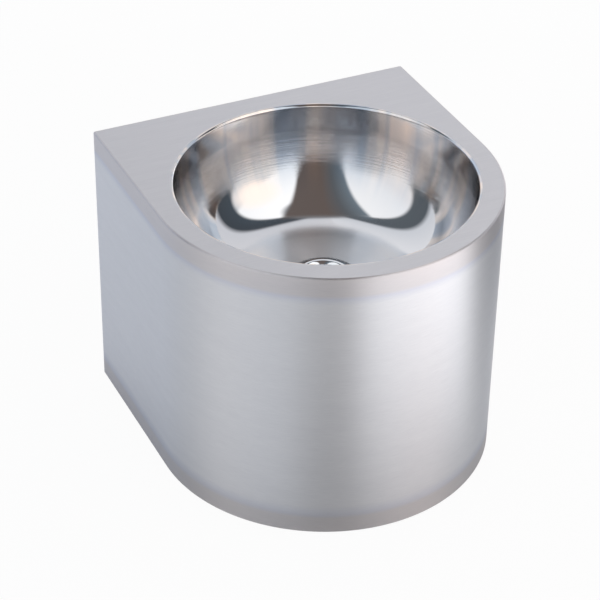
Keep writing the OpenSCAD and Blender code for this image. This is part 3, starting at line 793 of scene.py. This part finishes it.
# The tail has the pipe thread of a 1 1/2 inch waste, eleven turns to the inch.
add_thread(waste_mesh, thread_core, 1.02, 2.309, WASTE_END, thread_top, 96, at_drain)
hub_top = SPIDER_Z + SPIDER_H
turned(
    waste_mesh,
    [
        (3.3, SPIDER_Z), (5.4, SPIDER_Z), (6, SPIDER_Z + 0.6), (6, hub_top - 0.6), (5.4, hub_top),
        (3.3, hub_top)
    ],
    48, at_drain
)
for i in range(3):
    arm = at_drain @ Matrix.Rotation(math.radians(120 * i), 4, "Z") @ move_to(
        13.7, 0, SPIDER_Z + SPIDER_H / 2
    )
    bar = bmesh.ops.create_cube(
        waste_mesh, size=1, matrix=arm @ Matrix.Diagonal((16.6 * MM, 2 * MM, SPIDER_H * MM, 1))
    )
    bar_edges = {edge for v in bar["verts"] for edge in v.link_edges}
    bmesh.ops.bevel(waste_mesh, geom=list(bar_edges), offset=0.5 * MM, segments=2, affect="EDGES")
place(finish_mesh("waste_body_threaded", waste_mesh, chrome, 40), "basin", "bright_waste", "waste_body")

# Flange seal: a ring of black rubber that sits in the recess under the flange.
# Moulded rubber is dull black with a very fine grain.
black_rubber = mottled("black_nitrile_rubber_moulded", "1b1b1d", "27272a", 0.8, (0.6, 0.75), 0.03)
dress(black_rubber, "flange_seal")

# Grate: a disc of polished stainless steel with two rings of punched holes, on the ledge
# in the waste's bore.
GRATE_R = WASTE_BORE - 0.3
# The disc is stamped from polished sheet, which keeps a soft shine.
plate_steel = mottled(
    "polished_stainless_steel_punched_disc", "cfd0d2", "dadbdd", 5, (0.1, 0.18), 0.006, Metallic=1
)
hole_sizes = [
    (row + size, kind) for row in ("Outer", "Inner")
    for size, kind in ((" Count", "Int"), (" Ring", "Float"), (" Hole", "Float"))
]
punched, sizes_in = tree_with("punched_disc", hole_sizes + [("Level", "Float"), ("Reach", "Float")])
punches = []
for row_name in ("Outer", "Inner"):
    spots = add_node(
        punched, "GeometryNodeMeshCircle",
        {"Vertices": sizes_in.outputs[row_name + " Count"], "Radius": sizes_in.outputs[row_name + " Ring"]}
    )
    punch = add_node(
        punched, "GeometryNodeMeshCylinder",
        {"Vertices": 40, "Radius": sizes_in.outputs[row_name + " Hole"], "Depth": sizes_in.outputs["Reach"]}
    )
    punches.append(
        add_node(
            punched, "GeometryNodeInstanceOnPoints",
            {"Points": spots.outputs[0], "Instance": punch.outputs[0]}
        ).outputs[0]
    )
level_up = add_node(punched, "ShaderNodeCombineXYZ", {"Z": sizes_in.outputs["Level"]})
joined = add_node(punched, "GeometryNodeJoinGeometry")
for punch in punches:
    punched.links.new(punch, joined.inputs[0])
lifted = add_node(
    punched, "GeometryNodeTransform", {"Geometry": joined.outputs[0], "Translation": level_up.outputs[0]}
)
punch_set = add_node(punched, "GeometryNodeRealizeInstances", {"Geometry": lifted.outputs[0]})
disc_cut = add_node(
    punched, "GeometryNodeMeshBoolean", {0: sizes_in.outputs[0], 1: punch_set.outputs[0]},
    operation="DIFFERENCE"
)
end_tree(punched, disc_cut.outputs[0], plate_steel)
disc_mesh = bmesh.new()
grate_top = grate_z + GRATE_T
# The disc's facets are turned by half a step, so that none of their edges meets a punch's corner.
turned(
    disc_mesh,
    [
        (3.3, grate_z), (GRATE_R, grate_z), (GRATE_R, grate_top - 0.4), (GRATE_R - 0.4, grate_top),
        (3.7, grate_top), (3.3, grate_top - 0.4)
    ],
    96, Matrix.Rotation(math.pi / 96, 4, "Z")
)
bmesh.ops.recalc_face_normals(disc_mesh, faces=disc_mesh.faces)
disc = bpy.data.meshes.new("disc")
disc_mesh.to_mesh(disc)
disc_mesh.free()
grate_mesh = bmesh.new()
grate_mesh.from_mesh(made(punched, {
    "Outer Count": 12, "Outer Ring": 0.74 * GRATE_R * MM, "Outer Hole": 3 * MM,
    "Inner Count": 6, "Inner Ring": 0.4 * GRATE_R * MM, "Inner Hole": 1.8 * MM,
    "Level": (grate_z + GRATE_T / 2) * MM, "Reach": 4 * GRATE_T * MM,
}, disc))
grate_mesh.transform(at_drain)
place(
    finish_mesh("waste_grate_punched", grate_mesh, plate_steel, 30), "basin", "polished_steel", "waste_grate"
)

# Grate screw: a stainless steel screw with a low domed head and a cross recess. It pulls
# the grate down on to the spider.
HEAD_Z, HEAD_R, SHANK_R = grate_top, 5.4, 2.5
head_mesh = bmesh.new()
dome = [(0, HEAD_Z + 1.5), (2.2, HEAD_Z + 1.42), (4, HEAD_Z + 1.1), (5.1, HEAD_Z + 0.5), (HEAD_R, HEAD_Z)]
shank = [(SHANK_R, HEAD_Z), (SHANK_R, SPIDER_Z + 0.6), (SHANK_R - 0.6, SPIDER_Z), (0, SPIDER_Z)]
turned(head_mesh, dome + shank, 64, at_drain, False)
head = finish_mesh("head", head_mesh, plate_steel)
cross_mesh = bmesh.new()
for quarter in (0, 90):
    blade = at_drain @ move_to(0, 0, HEAD_Z + 1.3) @ Matrix.Rotation(math.radians(quarter + 20), 4, "Z")
    bmesh.ops.create_cube(
        cross_mesh, size=1, matrix=blade @ Matrix.Diagonal((5.2 * MM, 1.1 * MM, 1.6 * MM, 1))
    )
combine(head, cross_mesh, "DIFFERENCE")
whole_mesh = bmesh.new()
whole_mesh.from_mesh(head.data)
bpy.data.objects.remove(head)
add_thread(whole_mesh, SHANK_R, 0.48, 1, SPIDER_Z, grate_z - 0.5, 24, at_drain)
place(
    finish_mesh("grate_screw_cross_recess", whole_mesh, plate_steel, 35), "basin", "bright_waste",
    "grate_screw"
)

# Clamping pieces under the bowl: a rubber ring, a slippery plastic washer and a brass
# backnut, which pull the flange and the bowl's seat together.
BACKNUT_FLATS, BACKNUT_FOOT = 60, seat_z - 16
dress(black_rubber, "under_seal")
# Moulded polypropylene is milky white and half glossy.
white_plastic = mottled("white_polypropylene_moulded", "e3e3de", "ebebe7", 4, (0.3, 0.42), 0.03)
dress(white_plastic, "slip_washer")
nut_mesh = bmesh.new()
hex_nut(nut_mesh, BACKNUT_FLATS, WASTE_R + 0.3, BACKNUT_FOOT, BACKNUT_FOOT + 10, 1.6, at_drain)
place(finish_mesh("backnut_chamfered", nut_mesh, brass, 25), "basin", "brass", "backnut")

# Inlet nut: a moulded nut with twelve grip ribs. It screws up the waste's tail and lifts
# the trap's neck against its seal.
RIBS, RIB_R = 12, 2
ribs_round, sizes_in = tree_with("grip_ribs", (("Count", "Int"), ("Ring", "Float"), ("Level", "Float")))
rib_spots = add_node(
    ribs_round, "GeometryNodeMeshCircle",
    {"Vertices": sizes_in.outputs["Count"], "Radius": sizes_in.outputs["Ring"]}
)
rib_level = add_node(ribs_round, "ShaderNodeCombineXYZ", {"Z": sizes_in.outputs["Level"]})
rib_lift = add_node(
    ribs_round, "GeometryNodeTransform",
    {"Geometry": rib_spots.outputs[0], "Translation": rib_level.outputs[0]}
)
rib_row = add_node(
    ribs_round, "GeometryNodeInstanceOnPoints",
    {"Points": rib_lift.outputs[0], "Instance": sizes_in.outputs[0]}
)
end_tree(ribs_round, rib_row.outputs[0], white_plastic)


def add_ribs(bm, ring, low, high, turn):
    """Adds the grip ribs of a moulded nut, each a round bar with eased ends."""
    rib = bmesh.new()
    tall, ease = high - low, 0.8
    turned(
        rib,
        [(0, 0), (RIB_R - ease, 0), (RIB_R, ease), (RIB_R, tall - ease), (RIB_R - ease, tall), (0, tall)], 20,
        Matrix.Identity(4), False
    )
    bar = bpy.data.meshes.new("rib")
    rib.to_mesh(bar)
    rib.free()
    row = made(ribs_round, {"Count": RIBS, "Ring": ring * MM, "Level": low * MM}, bar)
    row.transform(turn)
    bm.from_mesh(row)


INLET_R, INLET_BORE, INLET_FOOT, INLET_TOP = 30.2, 24.2, 134.5, 160
inlet_mesh = bmesh.new()
outside = [
    (20.5, INLET_FOOT), (INLET_R - 0.8, INLET_FOOT), (INLET_R, INLET_FOOT + 0.8), (INLET_R, INLET_TOP - 0.8),
    (INLET_R - 0.8, INLET_TOP)
]
inside = [
    (INLET_BORE + 0.6, INLET_TOP), (INLET_BORE, INLET_TOP - 0.6), (INLET_BORE, INLET_FOOT + 3),
    (20.5, INLET_FOOT + 3)
]
turned(inlet_mesh, outside + inside, 96, at_drain)
add_ribs(inlet_mesh, INLET_R, INLET_FOOT, INLET_TOP, at_drain)
place(finish_mesh("inlet_nut_ribbed", inlet_mesh, white_plastic, 35), "basin", "white_plastic", "inlet_nut")
dress(black_rubber, "inlet_seal")

# Dip tube: a thin moulded tube that hangs by its flange in the neck and ends under water,
# which makes the water seal.
dress(white_plastic, "dip_tube")

# Trap body: a moulded head with the neck on top, the outlet socket at the rear and a
# coarse thread on its skirt for the cup.
TRAP_TOP, COLLAR_FOOT, HEAD_TOP, CHAMBER_TOP, HEAD_FOOT, TRAP_FOOT = 140.5, 137.5, 130, 127, 76, 58
TRAP_R, SKIRT_R, CHAMBER_R, COLLAR_R, NECK_R, NECK_BORE = 34, 31.5, 28.5, 23.9, 20, 17
OUTLET_Z, OUTLET_R, SOCKET_END, CUP_PITCH, CUP_DEPTH = 102, 23.3, 62, 4, 1.1
body_mesh = bmesh.new()
skirt_core = SKIRT_R - CUP_DEPTH
skirt = [
    (0, TRAP_FOOT), (skirt_core - 0.5, TRAP_FOOT), (skirt_core, TRAP_FOOT + 0.5), (skirt_core, HEAD_FOOT)
]
barrel = arc(TRAP_R - 1.5, HEAD_FOOT + 1.5, 1.5, -90, 0, 5) + arc(TRAP_R - 3, HEAD_TOP - 3, 3, 0, 90, 7)
neck = arc(NECK_R + 1.5, HEAD_TOP + 1.5, 1.5, 270, 180, 5)
neck += [
    (NECK_R, COLLAR_FOOT), (COLLAR_R - 0.5, COLLAR_FOOT), (COLLAR_R, COLLAR_FOOT + 0.5),
    (COLLAR_R, TRAP_TOP - 0.5), (COLLAR_R - 0.5, TRAP_TOP), (0, TRAP_TOP)
]
turned(body_mesh, skirt + barrel + neck, 96, at_drain, False)
body = finish_mesh("trap_body_moulded", body_mesh, white_plastic)
along_y = move_to(0, NOSE_Y, OUTLET_Z) @ Matrix.Rotation(-math.pi / 2, 4, "X")
socket_core = OUTLET_R - 0.9
# The socket is added to the full barrel. Then the chamber with the neck's bore is cut out, and last
# the outlet's stepped bore, so that no cut runs along a face that is already there.
chamber = [
    (0, TRAP_FOOT - 8), (CHAMBER_R, TRAP_FOOT - 8), (CHAMBER_R, CHAMBER_TOP), (NECK_BORE, CHAMBER_TOP),
    (NECK_BORE, TRAP_TOP + 4), (0, TRAP_TOP + 4)
]
for profile, steps, way, how in (
    (
        [
            (0, 8), (OUTLET_R, 8), (OUTLET_R, 44), (socket_core, 45), (socket_core, SOCKET_END - 0.6),
            (socket_core - 0.6, SOCKET_END), (0, SOCKET_END)
        ],
        72, along_y, "UNION"
    ),
    (chamber, 96, at_drain, "DIFFERENCE"),
    (
        [(0, -4), (17.3, -4), (17.3, 38), (20.3, 38), (20.3, SOCKET_END + 4), (0, SOCKET_END + 4)], 72,
        along_y, "DIFFERENCE"
    ),
):
    tool_mesh = bmesh.new()
    turned(tool_mesh, profile, steps, way, False)
    combine(body, tool_mesh, how)
trap_mesh = bmesh.new()
trap_mesh.from_mesh(body.data)
bpy.data.objects.remove(body)
add_thread(trap_mesh, skirt_core, CUP_DEPTH, CUP_PITCH, TRAP_FOOT + 0.5, HEAD_FOOT, 72, at_drain)
add_thread(trap_mesh, socket_core, 0.9, 3, 45.2, SOCKET_END - 0.6, 72, along_y)
place(finish_mesh("trap_body_moulded", trap_mesh, white_plastic, 32), "basin", "white_plastic", "trap_body")

# Outlet nut and its seal: the nut screws on to the socket and presses a rubber ring round
# the waste pipe.
dress(black_rubber, "outlet_seal")
OUTLET_NUT_R, OUTLET_NUT_BORE, PIPE_BORE, NUT_START, NUT_END = 26.6, 23.6, 20.6, 46, 70
outlet_mesh = bmesh.new()
outside = [
    (OUTLET_NUT_BORE, NUT_START), (OUTLET_NUT_BORE + 0.6, NUT_START), (OUTLET_NUT_R - 0.6, NUT_START),
    (OUTLET_NUT_R, NUT_START + 0.6), (OUTLET_NUT_R, NUT_END - 0.8), (OUTLET_NUT_R - 0.8, NUT_END)
]
inside = [
    (PIPE_BORE + 0.6, NUT_END), (PIPE_BORE, NUT_END - 0.6), (PIPE_BORE, NUT_END - 3),
    (OUTLET_NUT_BORE, NUT_END - 3)
]
turned(outlet_mesh, outside + inside, 96, along_y)
add_ribs(outlet_mesh, OUTLET_NUT_R, NUT_START, NUT_END, along_y)
place(
    finish_mesh("outlet_nut_ribbed", outlet_mesh, white_plastic, 35), "basin", "white_plastic", "outlet_nut"
)

# Cup seal: a flat rubber ring between the head's skirt and the cup. It rests on the cup's
# shoulder and goes down with the cup, but doesn't turn.
dress(black_rubber, "cup_seal")

# Trap cup: a moulded cup with a ribbed collar and a small ring groove in its foot. It is
# screwed off by hand to clean the trap.
CUP_R, CUP_WALL, CUP_CURVE, CUP_FOOT = 31, 3, 13, 19.9
GRIP_R, GRIP_BORE, GRIP_FOOT, GRIP_TOP = 34.8, 31.8, 51.9, 74
cup_mesh = bmesh.new()
curve_r, curve_z = CUP_R - CUP_CURVE, CUP_FOOT + CUP_CURVE
outside = [(0, CUP_FOOT), (8, CUP_FOOT), (8.6, CUP_FOOT + 0.8), (9.6, CUP_FOOT + 0.8), (10.2, CUP_FOOT)]
outside += arc(curve_r, curve_z, CUP_CURVE, -90, 0, 12)
grip = [
    (CUP_R, GRIP_FOOT - 0.9), (CUP_R + 1, GRIP_FOOT), (GRIP_R - 0.8, GRIP_FOOT), (GRIP_R, GRIP_FOOT + 0.8),
    (GRIP_R, GRIP_TOP - 0.8), (GRIP_R - 0.8, GRIP_TOP)
]
grip += [
    (GRIP_BORE + 0.5, GRIP_TOP), (GRIP_BORE, GRIP_TOP - 0.5), (GRIP_BORE, GRIP_FOOT + 3),
    (CUP_R - CUP_WALL, GRIP_FOOT + 3)
]
inside = arc(curve_r, curve_z, CUP_CURVE - CUP_WALL, 0, -90, 10) + [(0, CUP_FOOT + CUP_WALL)]
turned(cup_mesh, outside + grip + inside, 128, at_drain, False)
add_ribs(cup_mesh, GRIP_R, GRIP_FOOT, GRIP_TOP, at_drain)
place(finish_mesh("trap_cup_ribbed", cup_mesh, white_plastic, 35), "cup", "white_plastic", "trap_cup")

# Floor and studio: a pale floor in a white tent. Two lamps light the tent's left and right
# walls from outside, and the camera looks in through a slit that runs up over the top.
floor_mesh = bmesh.new()
bmesh.ops.create_grid(floor_mesh, x_segments=1, y_segments=1, size=12000 * MM)
floor_material, tree, surface = new_material("pale_studio_floor", Roughness=0.9)
surface.inputs["Base Color"].default_value = linear("f4f4f4")
rays = add_node(tree, "ShaderNodeLightPath")
seen = add_node(
    tree, "ShaderNodeMath", {0: rays.outputs["Is Camera Ray"], 1: rays.outputs["Is Glossy Ray"]},
    operation="MAXIMUM"
)
seen = add_node(
    tree, "ShaderNodeMath", {0: seen.outputs[0], 1: rays.outputs["Is Transmission Ray"]}, operation="MAXIMUM"
)
# The camera sees a nearly white table. A reflection sees how the lamps light it: dimmer
# beside the basin, and bright in the pool of light before the right-hand lamp.
floor_spot = add_node(tree, "ShaderNodeTexCoord")
floor_axes = add_node(tree, "ShaderNodeSeparateXYZ", {"Vector": floor_spot.outputs["Object"]})
to_front = add_node(tree, "ShaderNodeMath", {0: floor_axes.outputs["Y"], 1: -1}, operation="MULTIPLY")
bearing = add_node(
    tree, "ShaderNodeMath", {0: floor_axes.outputs["X"], 1: to_front.outputs[0]}, operation="ARCTAN2"
)
flat = add_node(tree, "ShaderNodeCombineXYZ", {"X": floor_axes.outputs["X"], "Y": floor_axes.outputs["Y"]})
reach = add_node(tree, "ShaderNodeVectorMath", {0: flat.outputs[0]}, operation="LENGTH").outputs["Value"]


def floor_area(turn_from, turn_to, soft, reach_from, reach_to, blur, gain):
    """A lighter or darker area of the table, from one bearing to another (degrees, from the front to
    the right) and from one distance to another (mm), with soft edges."""
    area, degree = gain, math.radians(1)
    for source, at, ease, unit in (
        (bearing.outputs[0], turn_from, soft, degree), (bearing.outputs[0], turn_to, -soft, degree),
        (reach, reach_from, blur, MM), (reach, reach_to, -blur, MM),
    ):
        edge = add_node(
            tree, "ShaderNodeMapRange",
            {"Value": source, "From Min": (at - ease) * unit, "From Max": (at + ease) * unit},
            interpolation_type="SMOOTHSTEP"
        )
        area = add_node(
            tree, "ShaderNodeMath", {0: edge.outputs[0], 1: area}, operation="MULTIPLY"
        ).outputs[0]
    return area


# All round, the light grows from the basin's shade to a metre out, and then falls. The curve gives
# half the level at half the distance in metres, so that both stay within its range of 0 to 1.
half_reach = add_node(tree, "ShaderNodeMath", {0: reach, 1: 0.5}, operation="MULTIPLY")
shading = add_node(tree, "ShaderNodeFloatCurve", {"Value": half_reach.outputs[0]})
curve = shading.mapping.curves[0]
for distance, light in ((0.1, 0.2), (0.17, 0.35), (0.26, 0.38), (0.45, 0.56), (0.8, 0.31)):
    curve.points.new(distance, light)
curve.points[0].location, curve.points[-1].location = (0, 0.2), (1, 0.31)
shading.mapping.update()
light_level = add_node(
    tree, "ShaderNodeMath", {0: shading.outputs[0], 1: 2.0}, operation="MULTIPLY"
).outputs[0]
for area in (
    (-8, 64, 9, 620, 9000, 140, 1.9),  # the pool of light before the right-hand lamp
    (-35, 44, 14, 250, 520, 60, -0.36),  # the basin's own shade in front
    (65, 124, 9, 590, 9000, 110, -1.0),  # the dim table beside the pool
):
    light_level = add_node(
        tree, "ShaderNodeMath", {0: light_level, 1: floor_area(*area)}, operation="ADD"
    ).outputs[0]
light_level = add_node(tree, "ShaderNodeMath", {0: light_level, 1: 0.05}, operation="MAXIMUM").outputs[0]
strength = add_node(
    tree, "ShaderNodeMix", {"Factor": rays.outputs["Is Camera Ray"], "A": light_level, "B": 1.0},
    data_type="FLOAT"
)
glow = add_node(
    tree, "ShaderNodeEmission", {"Color": linear("ffffff"), "Strength": strength.outputs["Result"]}
)
share = add_node(
    tree, "ShaderNodeMapRange", {"Value": rays.outputs["Is Camera Ray"], "To Min": 1.0, "To Max": 0.94}
)
share = add_node(tree, "ShaderNodeMath", {0: seen.outputs[0], 1: share.outputs[0]}, operation="MULTIPLY")
both = add_node(tree, "ShaderNodeMixShader", {0: share.outputs[0], 1: surface.outputs[0], 2: glow.outputs[0]})
tree.links.new(both.outputs[0], tree.nodes["Material Output"].inputs["Surface"])
floor = finish_mesh("studio_floor", floor_mesh, floor_material)
floor.location.z = -0.0005

# The tent is a dome. Its slit faces the camera's side. A ramp's colours hold levels up to TENT_LIGHT.
TENT_R, SLIT_WAY, TENT_LIGHT = 2600, math.radians(-21), 3.2
tent_mesh = bmesh.new()
bmesh.ops.create_uvsphere(tent_mesh, u_segments=96, v_segments=48, radius=TENT_R * MM)
whole_ball = tent_mesh.verts[:] + tent_mesh.edges[:] + tent_mesh.faces[:]
bmesh.ops.bisect_plane(tent_mesh, geom=whole_ball, plane_co=(0, 0, 0), plane_no=(0, 0, -1), clear_outer=True)
tent_material = bpy.data.materials.new("white_tent_fabric_lit_from_outside")
tent_material.use_nodes = True
tent_material.cycles.emission_sampling = "NONE"
tree = tent_material.node_tree
tree.nodes.clear()
spot = add_node(tree, "ShaderNodeTexCoord")
unit = add_node(tree, "ShaderNodeVectorMath", {0: spot.outputs["Object"]}, operation="NORMALIZE")
axes = add_node(tree, "ShaderNodeSeparateXYZ", {0: unit.outputs[0]})
toward = add_node(
    tree, "ShaderNodeVectorMath", {0: unit.outputs[0], 1: (math.sin(SLIT_WAY), -math.cos(SLIT_WAY), 0)},
    operation="DOT_PRODUCT"
)
beside = add_node(
    tree, "ShaderNodeVectorMath", {0: unit.outputs[0], 1: (math.cos(SLIT_WAY), math.sin(SLIT_WAY), 0)},
    operation="DOT_PRODUCT"
)
turn = add_node(
    tree, "ShaderNodeMath", {0: beside.outputs["Value"], 1: toward.outputs["Value"]}, operation="ARCTAN2"
)
away = add_node(tree, "ShaderNodeMath", {0: turn.outputs[0]}, operation="ABSOLUTE")
climb = add_node(tree, "ShaderNodeMath", {0: axes.outputs["Z"]}, operation="ARCSINE")
# The side panels lean back, so their rear edges lie further round the tent the higher they are.
edge_at = add_node(
    tree, "ShaderNodeMath", {0: climb.outputs[0], 1: -1.05, 2: away.outputs[0]}, operation="MULTIPLY_ADD"
)


def lit(code, level):
    """A colour at a light level, as a share of the tent's highest level."""
    return [c * level / TENT_LIGHT for c in linear(code)[:3]] + [1]


def levels(source, stops, low, high):
    """A ramp of light levels over a range. Each stop is a place in that range, a colour and a level."""
    along = add_node(tree, "ShaderNodeMapRange", {"Value": source, "From Min": low, "From Max": high})
    ramp = add_node(tree, "ShaderNodeValToRGB", {"Fac": along.outputs[0]})
    for _ in stops[2:]:
        ramp.color_ramp.elements.new(0.5)
    for element, (spot, code, level) in zip(ramp.color_ramp.elements, stops):
        element.position = (spot - low) / (high - low)
        element.color = lit(code, level)
    return ramp.outputs[0]


side_way = add_node(tree, "ShaderNodeMath", {0: beside.outputs["Value"]}, operation="ABSOLUTE")
clear_of = add_node(tree, "ShaderNodeMath", {0: side_way.outputs[0], 1: 0.02}, operation="MAXIMUM")
steep = add_node(tree, "ShaderNodeMath", {0: axes.outputs["Z"], 1: clear_of.outputs[0]}, operation="DIVIDE")
leant = add_node(tree, "ShaderNodeMath", {0: steep.outputs[0]}, operation="ARCTANGENT")
right_panel = levels(leant.outputs[0], [
    (0, "fff8f2", 1.7), (0.2, "fcfaf8", 1.2), (0.35, "f8fbff", 0.88), (0.76, "f6faff", 0.86),
    (0.82, "fdfeff", 1.3), (1.25, "ffffff", 1.4), (1.5, "f6f9ff", 0.96),
], 0, math.pi / 2)
left_panel = levels(
    leant.outputs[0],
    [
        (0, "fff6ec", 1.3), (0.3, "fdfaf8", 1.05), (0.7, "fafbff", 1.05), (0.9, "f8fbff", 1.15),
        (1.4, "ffffff", 1.25)
    ],
    0, math.pi / 2
)
is_right = add_node(tree, "ShaderNodeMath", {0: turn.outputs[0], 1: 0.0}, operation="GREATER_THAN")
# A grey stand holds the left lamp, beside the slit.
post_in = add_node(
    tree, "ShaderNodeMapRange", {"Value": turn.outputs[0], "From Min": -0.28, "From Max": -0.6},
    interpolation_type="SMOOTHSTEP"
)
post_out = add_node(
    tree, "ShaderNodeMapRange", {"Value": turn.outputs[0], "From Min": -1.06, "From Max": -0.78},
    interpolation_type="SMOOTHSTEP"
)
post_top = add_node(
    tree, "ShaderNodeMapRange", {"Value": climb.outputs[0], "From Min": 0.75, "From Max": 0.3},
    interpolation_type="SMOOTHSTEP"
)
post = add_node(tree, "ShaderNodeMath", {0: post_in.outputs[0], 1: post_out.outputs[0]}, operation="MULTIPLY")
post = add_node(tree, "ShaderNodeMath", {0: post.outputs[0], 1: post_top.outputs[0]}, operation="MULTIPLY")
left_panel = add_node(
    tree, "ShaderNodeMix", {"Factor": post.outputs[0], "A": left_panel, "B": lit("e6edf6", 0.512)},
    data_type="RGBA"
)
panels = add_node(
    tree, "ShaderNodeMix",
    {"Factor": is_right.outputs[0], "A": left_panel.outputs["Result"], "B": right_panel}, data_type="RGBA"
)
# Behind each panel comes a dark gap, and then the tent's rear.
behind_right = levels(edge_at.outputs[0], [
    (0.9, "a9bccf", 0.2), (1.3, "b4c2d2", 0.15), (1.42, "f6f8ff", 0.85), (2.0, "fbfbff", 0.9),
], 0.8, 2.4)
behind_left = levels(
    edge_at.outputs[0],
    [
        (0.9, "b9c6d2", 0.27), (1.3, "b9c6d2", 0.25), (1.42, "f4f8ff", 0.88), (2.0, "fafbff", 1.02),
        (3.1, "fbfbff", 0.96)
    ],
    0.8, 3.2
)
behind = add_node(
    tree, "ShaderNodeMix", {"Factor": is_right.outputs[0], "A": behind_left, "B": behind_right},
    data_type="RGBA"
)
gap_open = add_node(
    tree, "ShaderNodeMapRange", {"Value": edge_at.outputs[0], "From Min": 0.86, "From Max": 0.98},
    interpolation_type="SMOOTHSTEP"
)
walls = add_node(
    tree, "ShaderNodeMix",
    {"Factor": gap_open.outputs[0], "A": panels.outputs["Result"], "B": behind.outputs["Result"]},
    data_type="RGBA"
)
# Low down, the fabric is lit by what stands beside it: a bright board at the right rear,
# the right lamp, and dark gaps between them and at the left rear.
forward = add_node(tree, "ShaderNodeMath", {0: axes.outputs["Y"], 1: -1}, operation="MULTIPLY")
heading = add_node(tree, "ShaderNodeMath", {0: axes.outputs["X"], 1: forward.outputs[0]}, operation="ARCTAN2")
skirting = levels(heading.outputs[0], [(math.radians(way), code, level) for way, code, level in (
    (-180, "fff0ea", 1.1), (-160, "b4d4ff", 0.5), (-134, "a8cfff", 0.85), (-112, "ecf5ff", 1.25),
    (-90, "ffffff", 1.6), (-62, "f6faff", 1.9), (-48, "f4f9ff", 1.7), (-34, "ffffff", 1.5),
    (-17, "ffffff", 1.6), (-4, "ffffff", 0.9), (14, "fff6f2", 2.3), (40, "fff4f0", 3.1),
    (62, "ffffff", 2.1), (75, "ffffff", 2.0), (88, "eef5ff", 0.7), (104, "f4f9ff", 0.7),
    (116, "ffffff", 2.9), (134, "ffffff", 1.5), (156, "fff6f2", 1.2), (180, "fff0ea", 1.1),
)], -math.pi, math.pi)
low_down = add_node(
    tree, "ShaderNodeMapRange",
    {"Value": climb.outputs[0], "From Min": math.radians(19), "From Max": math.radians(12)},
    interpolation_type="SMOOTHSTEP"
)
fabric = add_node(
    tree, "ShaderNodeMix", {"Factor": low_down.outputs[0], "A": walls.outputs["Result"], "B": skirting},
    data_type="RGBA"
)
# The right lamp's bulb shows through the fabric, and the roof's vent is a dark round hole near the top.
for way, height, core_at, rim_at, colour in (
    (49, 46, 4, 20, lit("fff2e8", 1.5)), (95, 85.5, 11, 16, lit("f4f8ff", 0.33))
):
    way, height = math.radians(way), math.radians(height)
    aim = (math.sin(way) * math.cos(height), -math.cos(way) * math.cos(height), math.sin(height))
    near = add_node(
        tree, "ShaderNodeVectorMath", {0: unit.outputs[0], 1: aim}, operation="DOT_PRODUCT"
    ).outputs["Value"]
    disc_edge = {"From Min": math.cos(math.radians(rim_at)), "From Max": math.cos(math.radians(core_at))}
    on_disc = add_node(
        tree, "ShaderNodeMapRange", {"Value": near, **disc_edge}, interpolation_type="SMOOTHSTEP"
    )
    fabric = add_node(
        tree, "ShaderNodeMix", {"Factor": on_disc.outputs[0], "A": fabric.outputs["Result"], "B": colour},
        data_type="RGBA"
    )
# The slit starts above the table and runs up over the top.
narrow = add_node(
    tree, "ShaderNodeMapRange", {"Value": side_way.outputs[0], "From Min": 0.3, "From Max": 0.25},
    interpolation_type="SMOOTHSTEP"
)
front = add_node(
    tree, "ShaderNodeMapRange", {"Value": toward.outputs["Value"], "From Min": -0.3, "From Max": -0.15},
    interpolation_type="SMOOTHSTEP"
)
slit_foot = add_node(
    tree, "ShaderNodeMapRange",
    {"Value": climb.outputs[0], "From Min": math.radians(15), "From Max": math.radians(20)},
    interpolation_type="SMOOTHSTEP"
)
slit = add_node(tree, "ShaderNodeMath", {0: narrow.outputs[0], 1: front.outputs[0]}, operation="MULTIPLY")
slit = add_node(tree, "ShaderNodeMath", {0: slit.outputs[0], 1: slit_foot.outputs[0]}, operation="MULTIPLY")
room = levels(beside.outputs["Value"], [
    (-0.3, "a9bccb", 0.55), (-0.12, "b3b9c0", 0.3), (0.0, "c9b6ae", 0.28), (0.3, "c4b4ae", 0.3),
], -0.3, 0.3)
fabric = add_node(
    tree, "ShaderNodeMix", {"Factor": slit.outputs[0], "A": fabric.outputs["Result"], "B": room},
    data_type="RGBA"
)
glow = add_node(tree, "ShaderNodeEmission", {"Color": fabric.outputs["Result"], "Strength": TENT_LIGHT})
add_node(tree, "ShaderNodeOutputMaterial", {"Surface": glow.outputs[0]})
tent = finish_mesh("light_tent", tent_mesh, tent_material)
tent.visible_camera = False
tent.visible_shadow = False

# World: plain white. The camera sees it behind the floor, since the tent is hidden from it. The
# tent casts no shadow, so the pieces take a part of their light from it.
world = bpy.data.worlds.new("white_surround")
bpy.context.scene.world = world
world.use_nodes = True
tree = world.node_tree
tree.nodes.clear()
backdrop = add_node(tree, "ShaderNodeBackground", {"Color": linear("ffffff"), "Strength": 1.0})
add_node(tree, "ShaderNodeOutputWorld", {"Surface": backdrop.outputs[0]})

bpy.context.scene.view_settings.view_transform = "Standard"
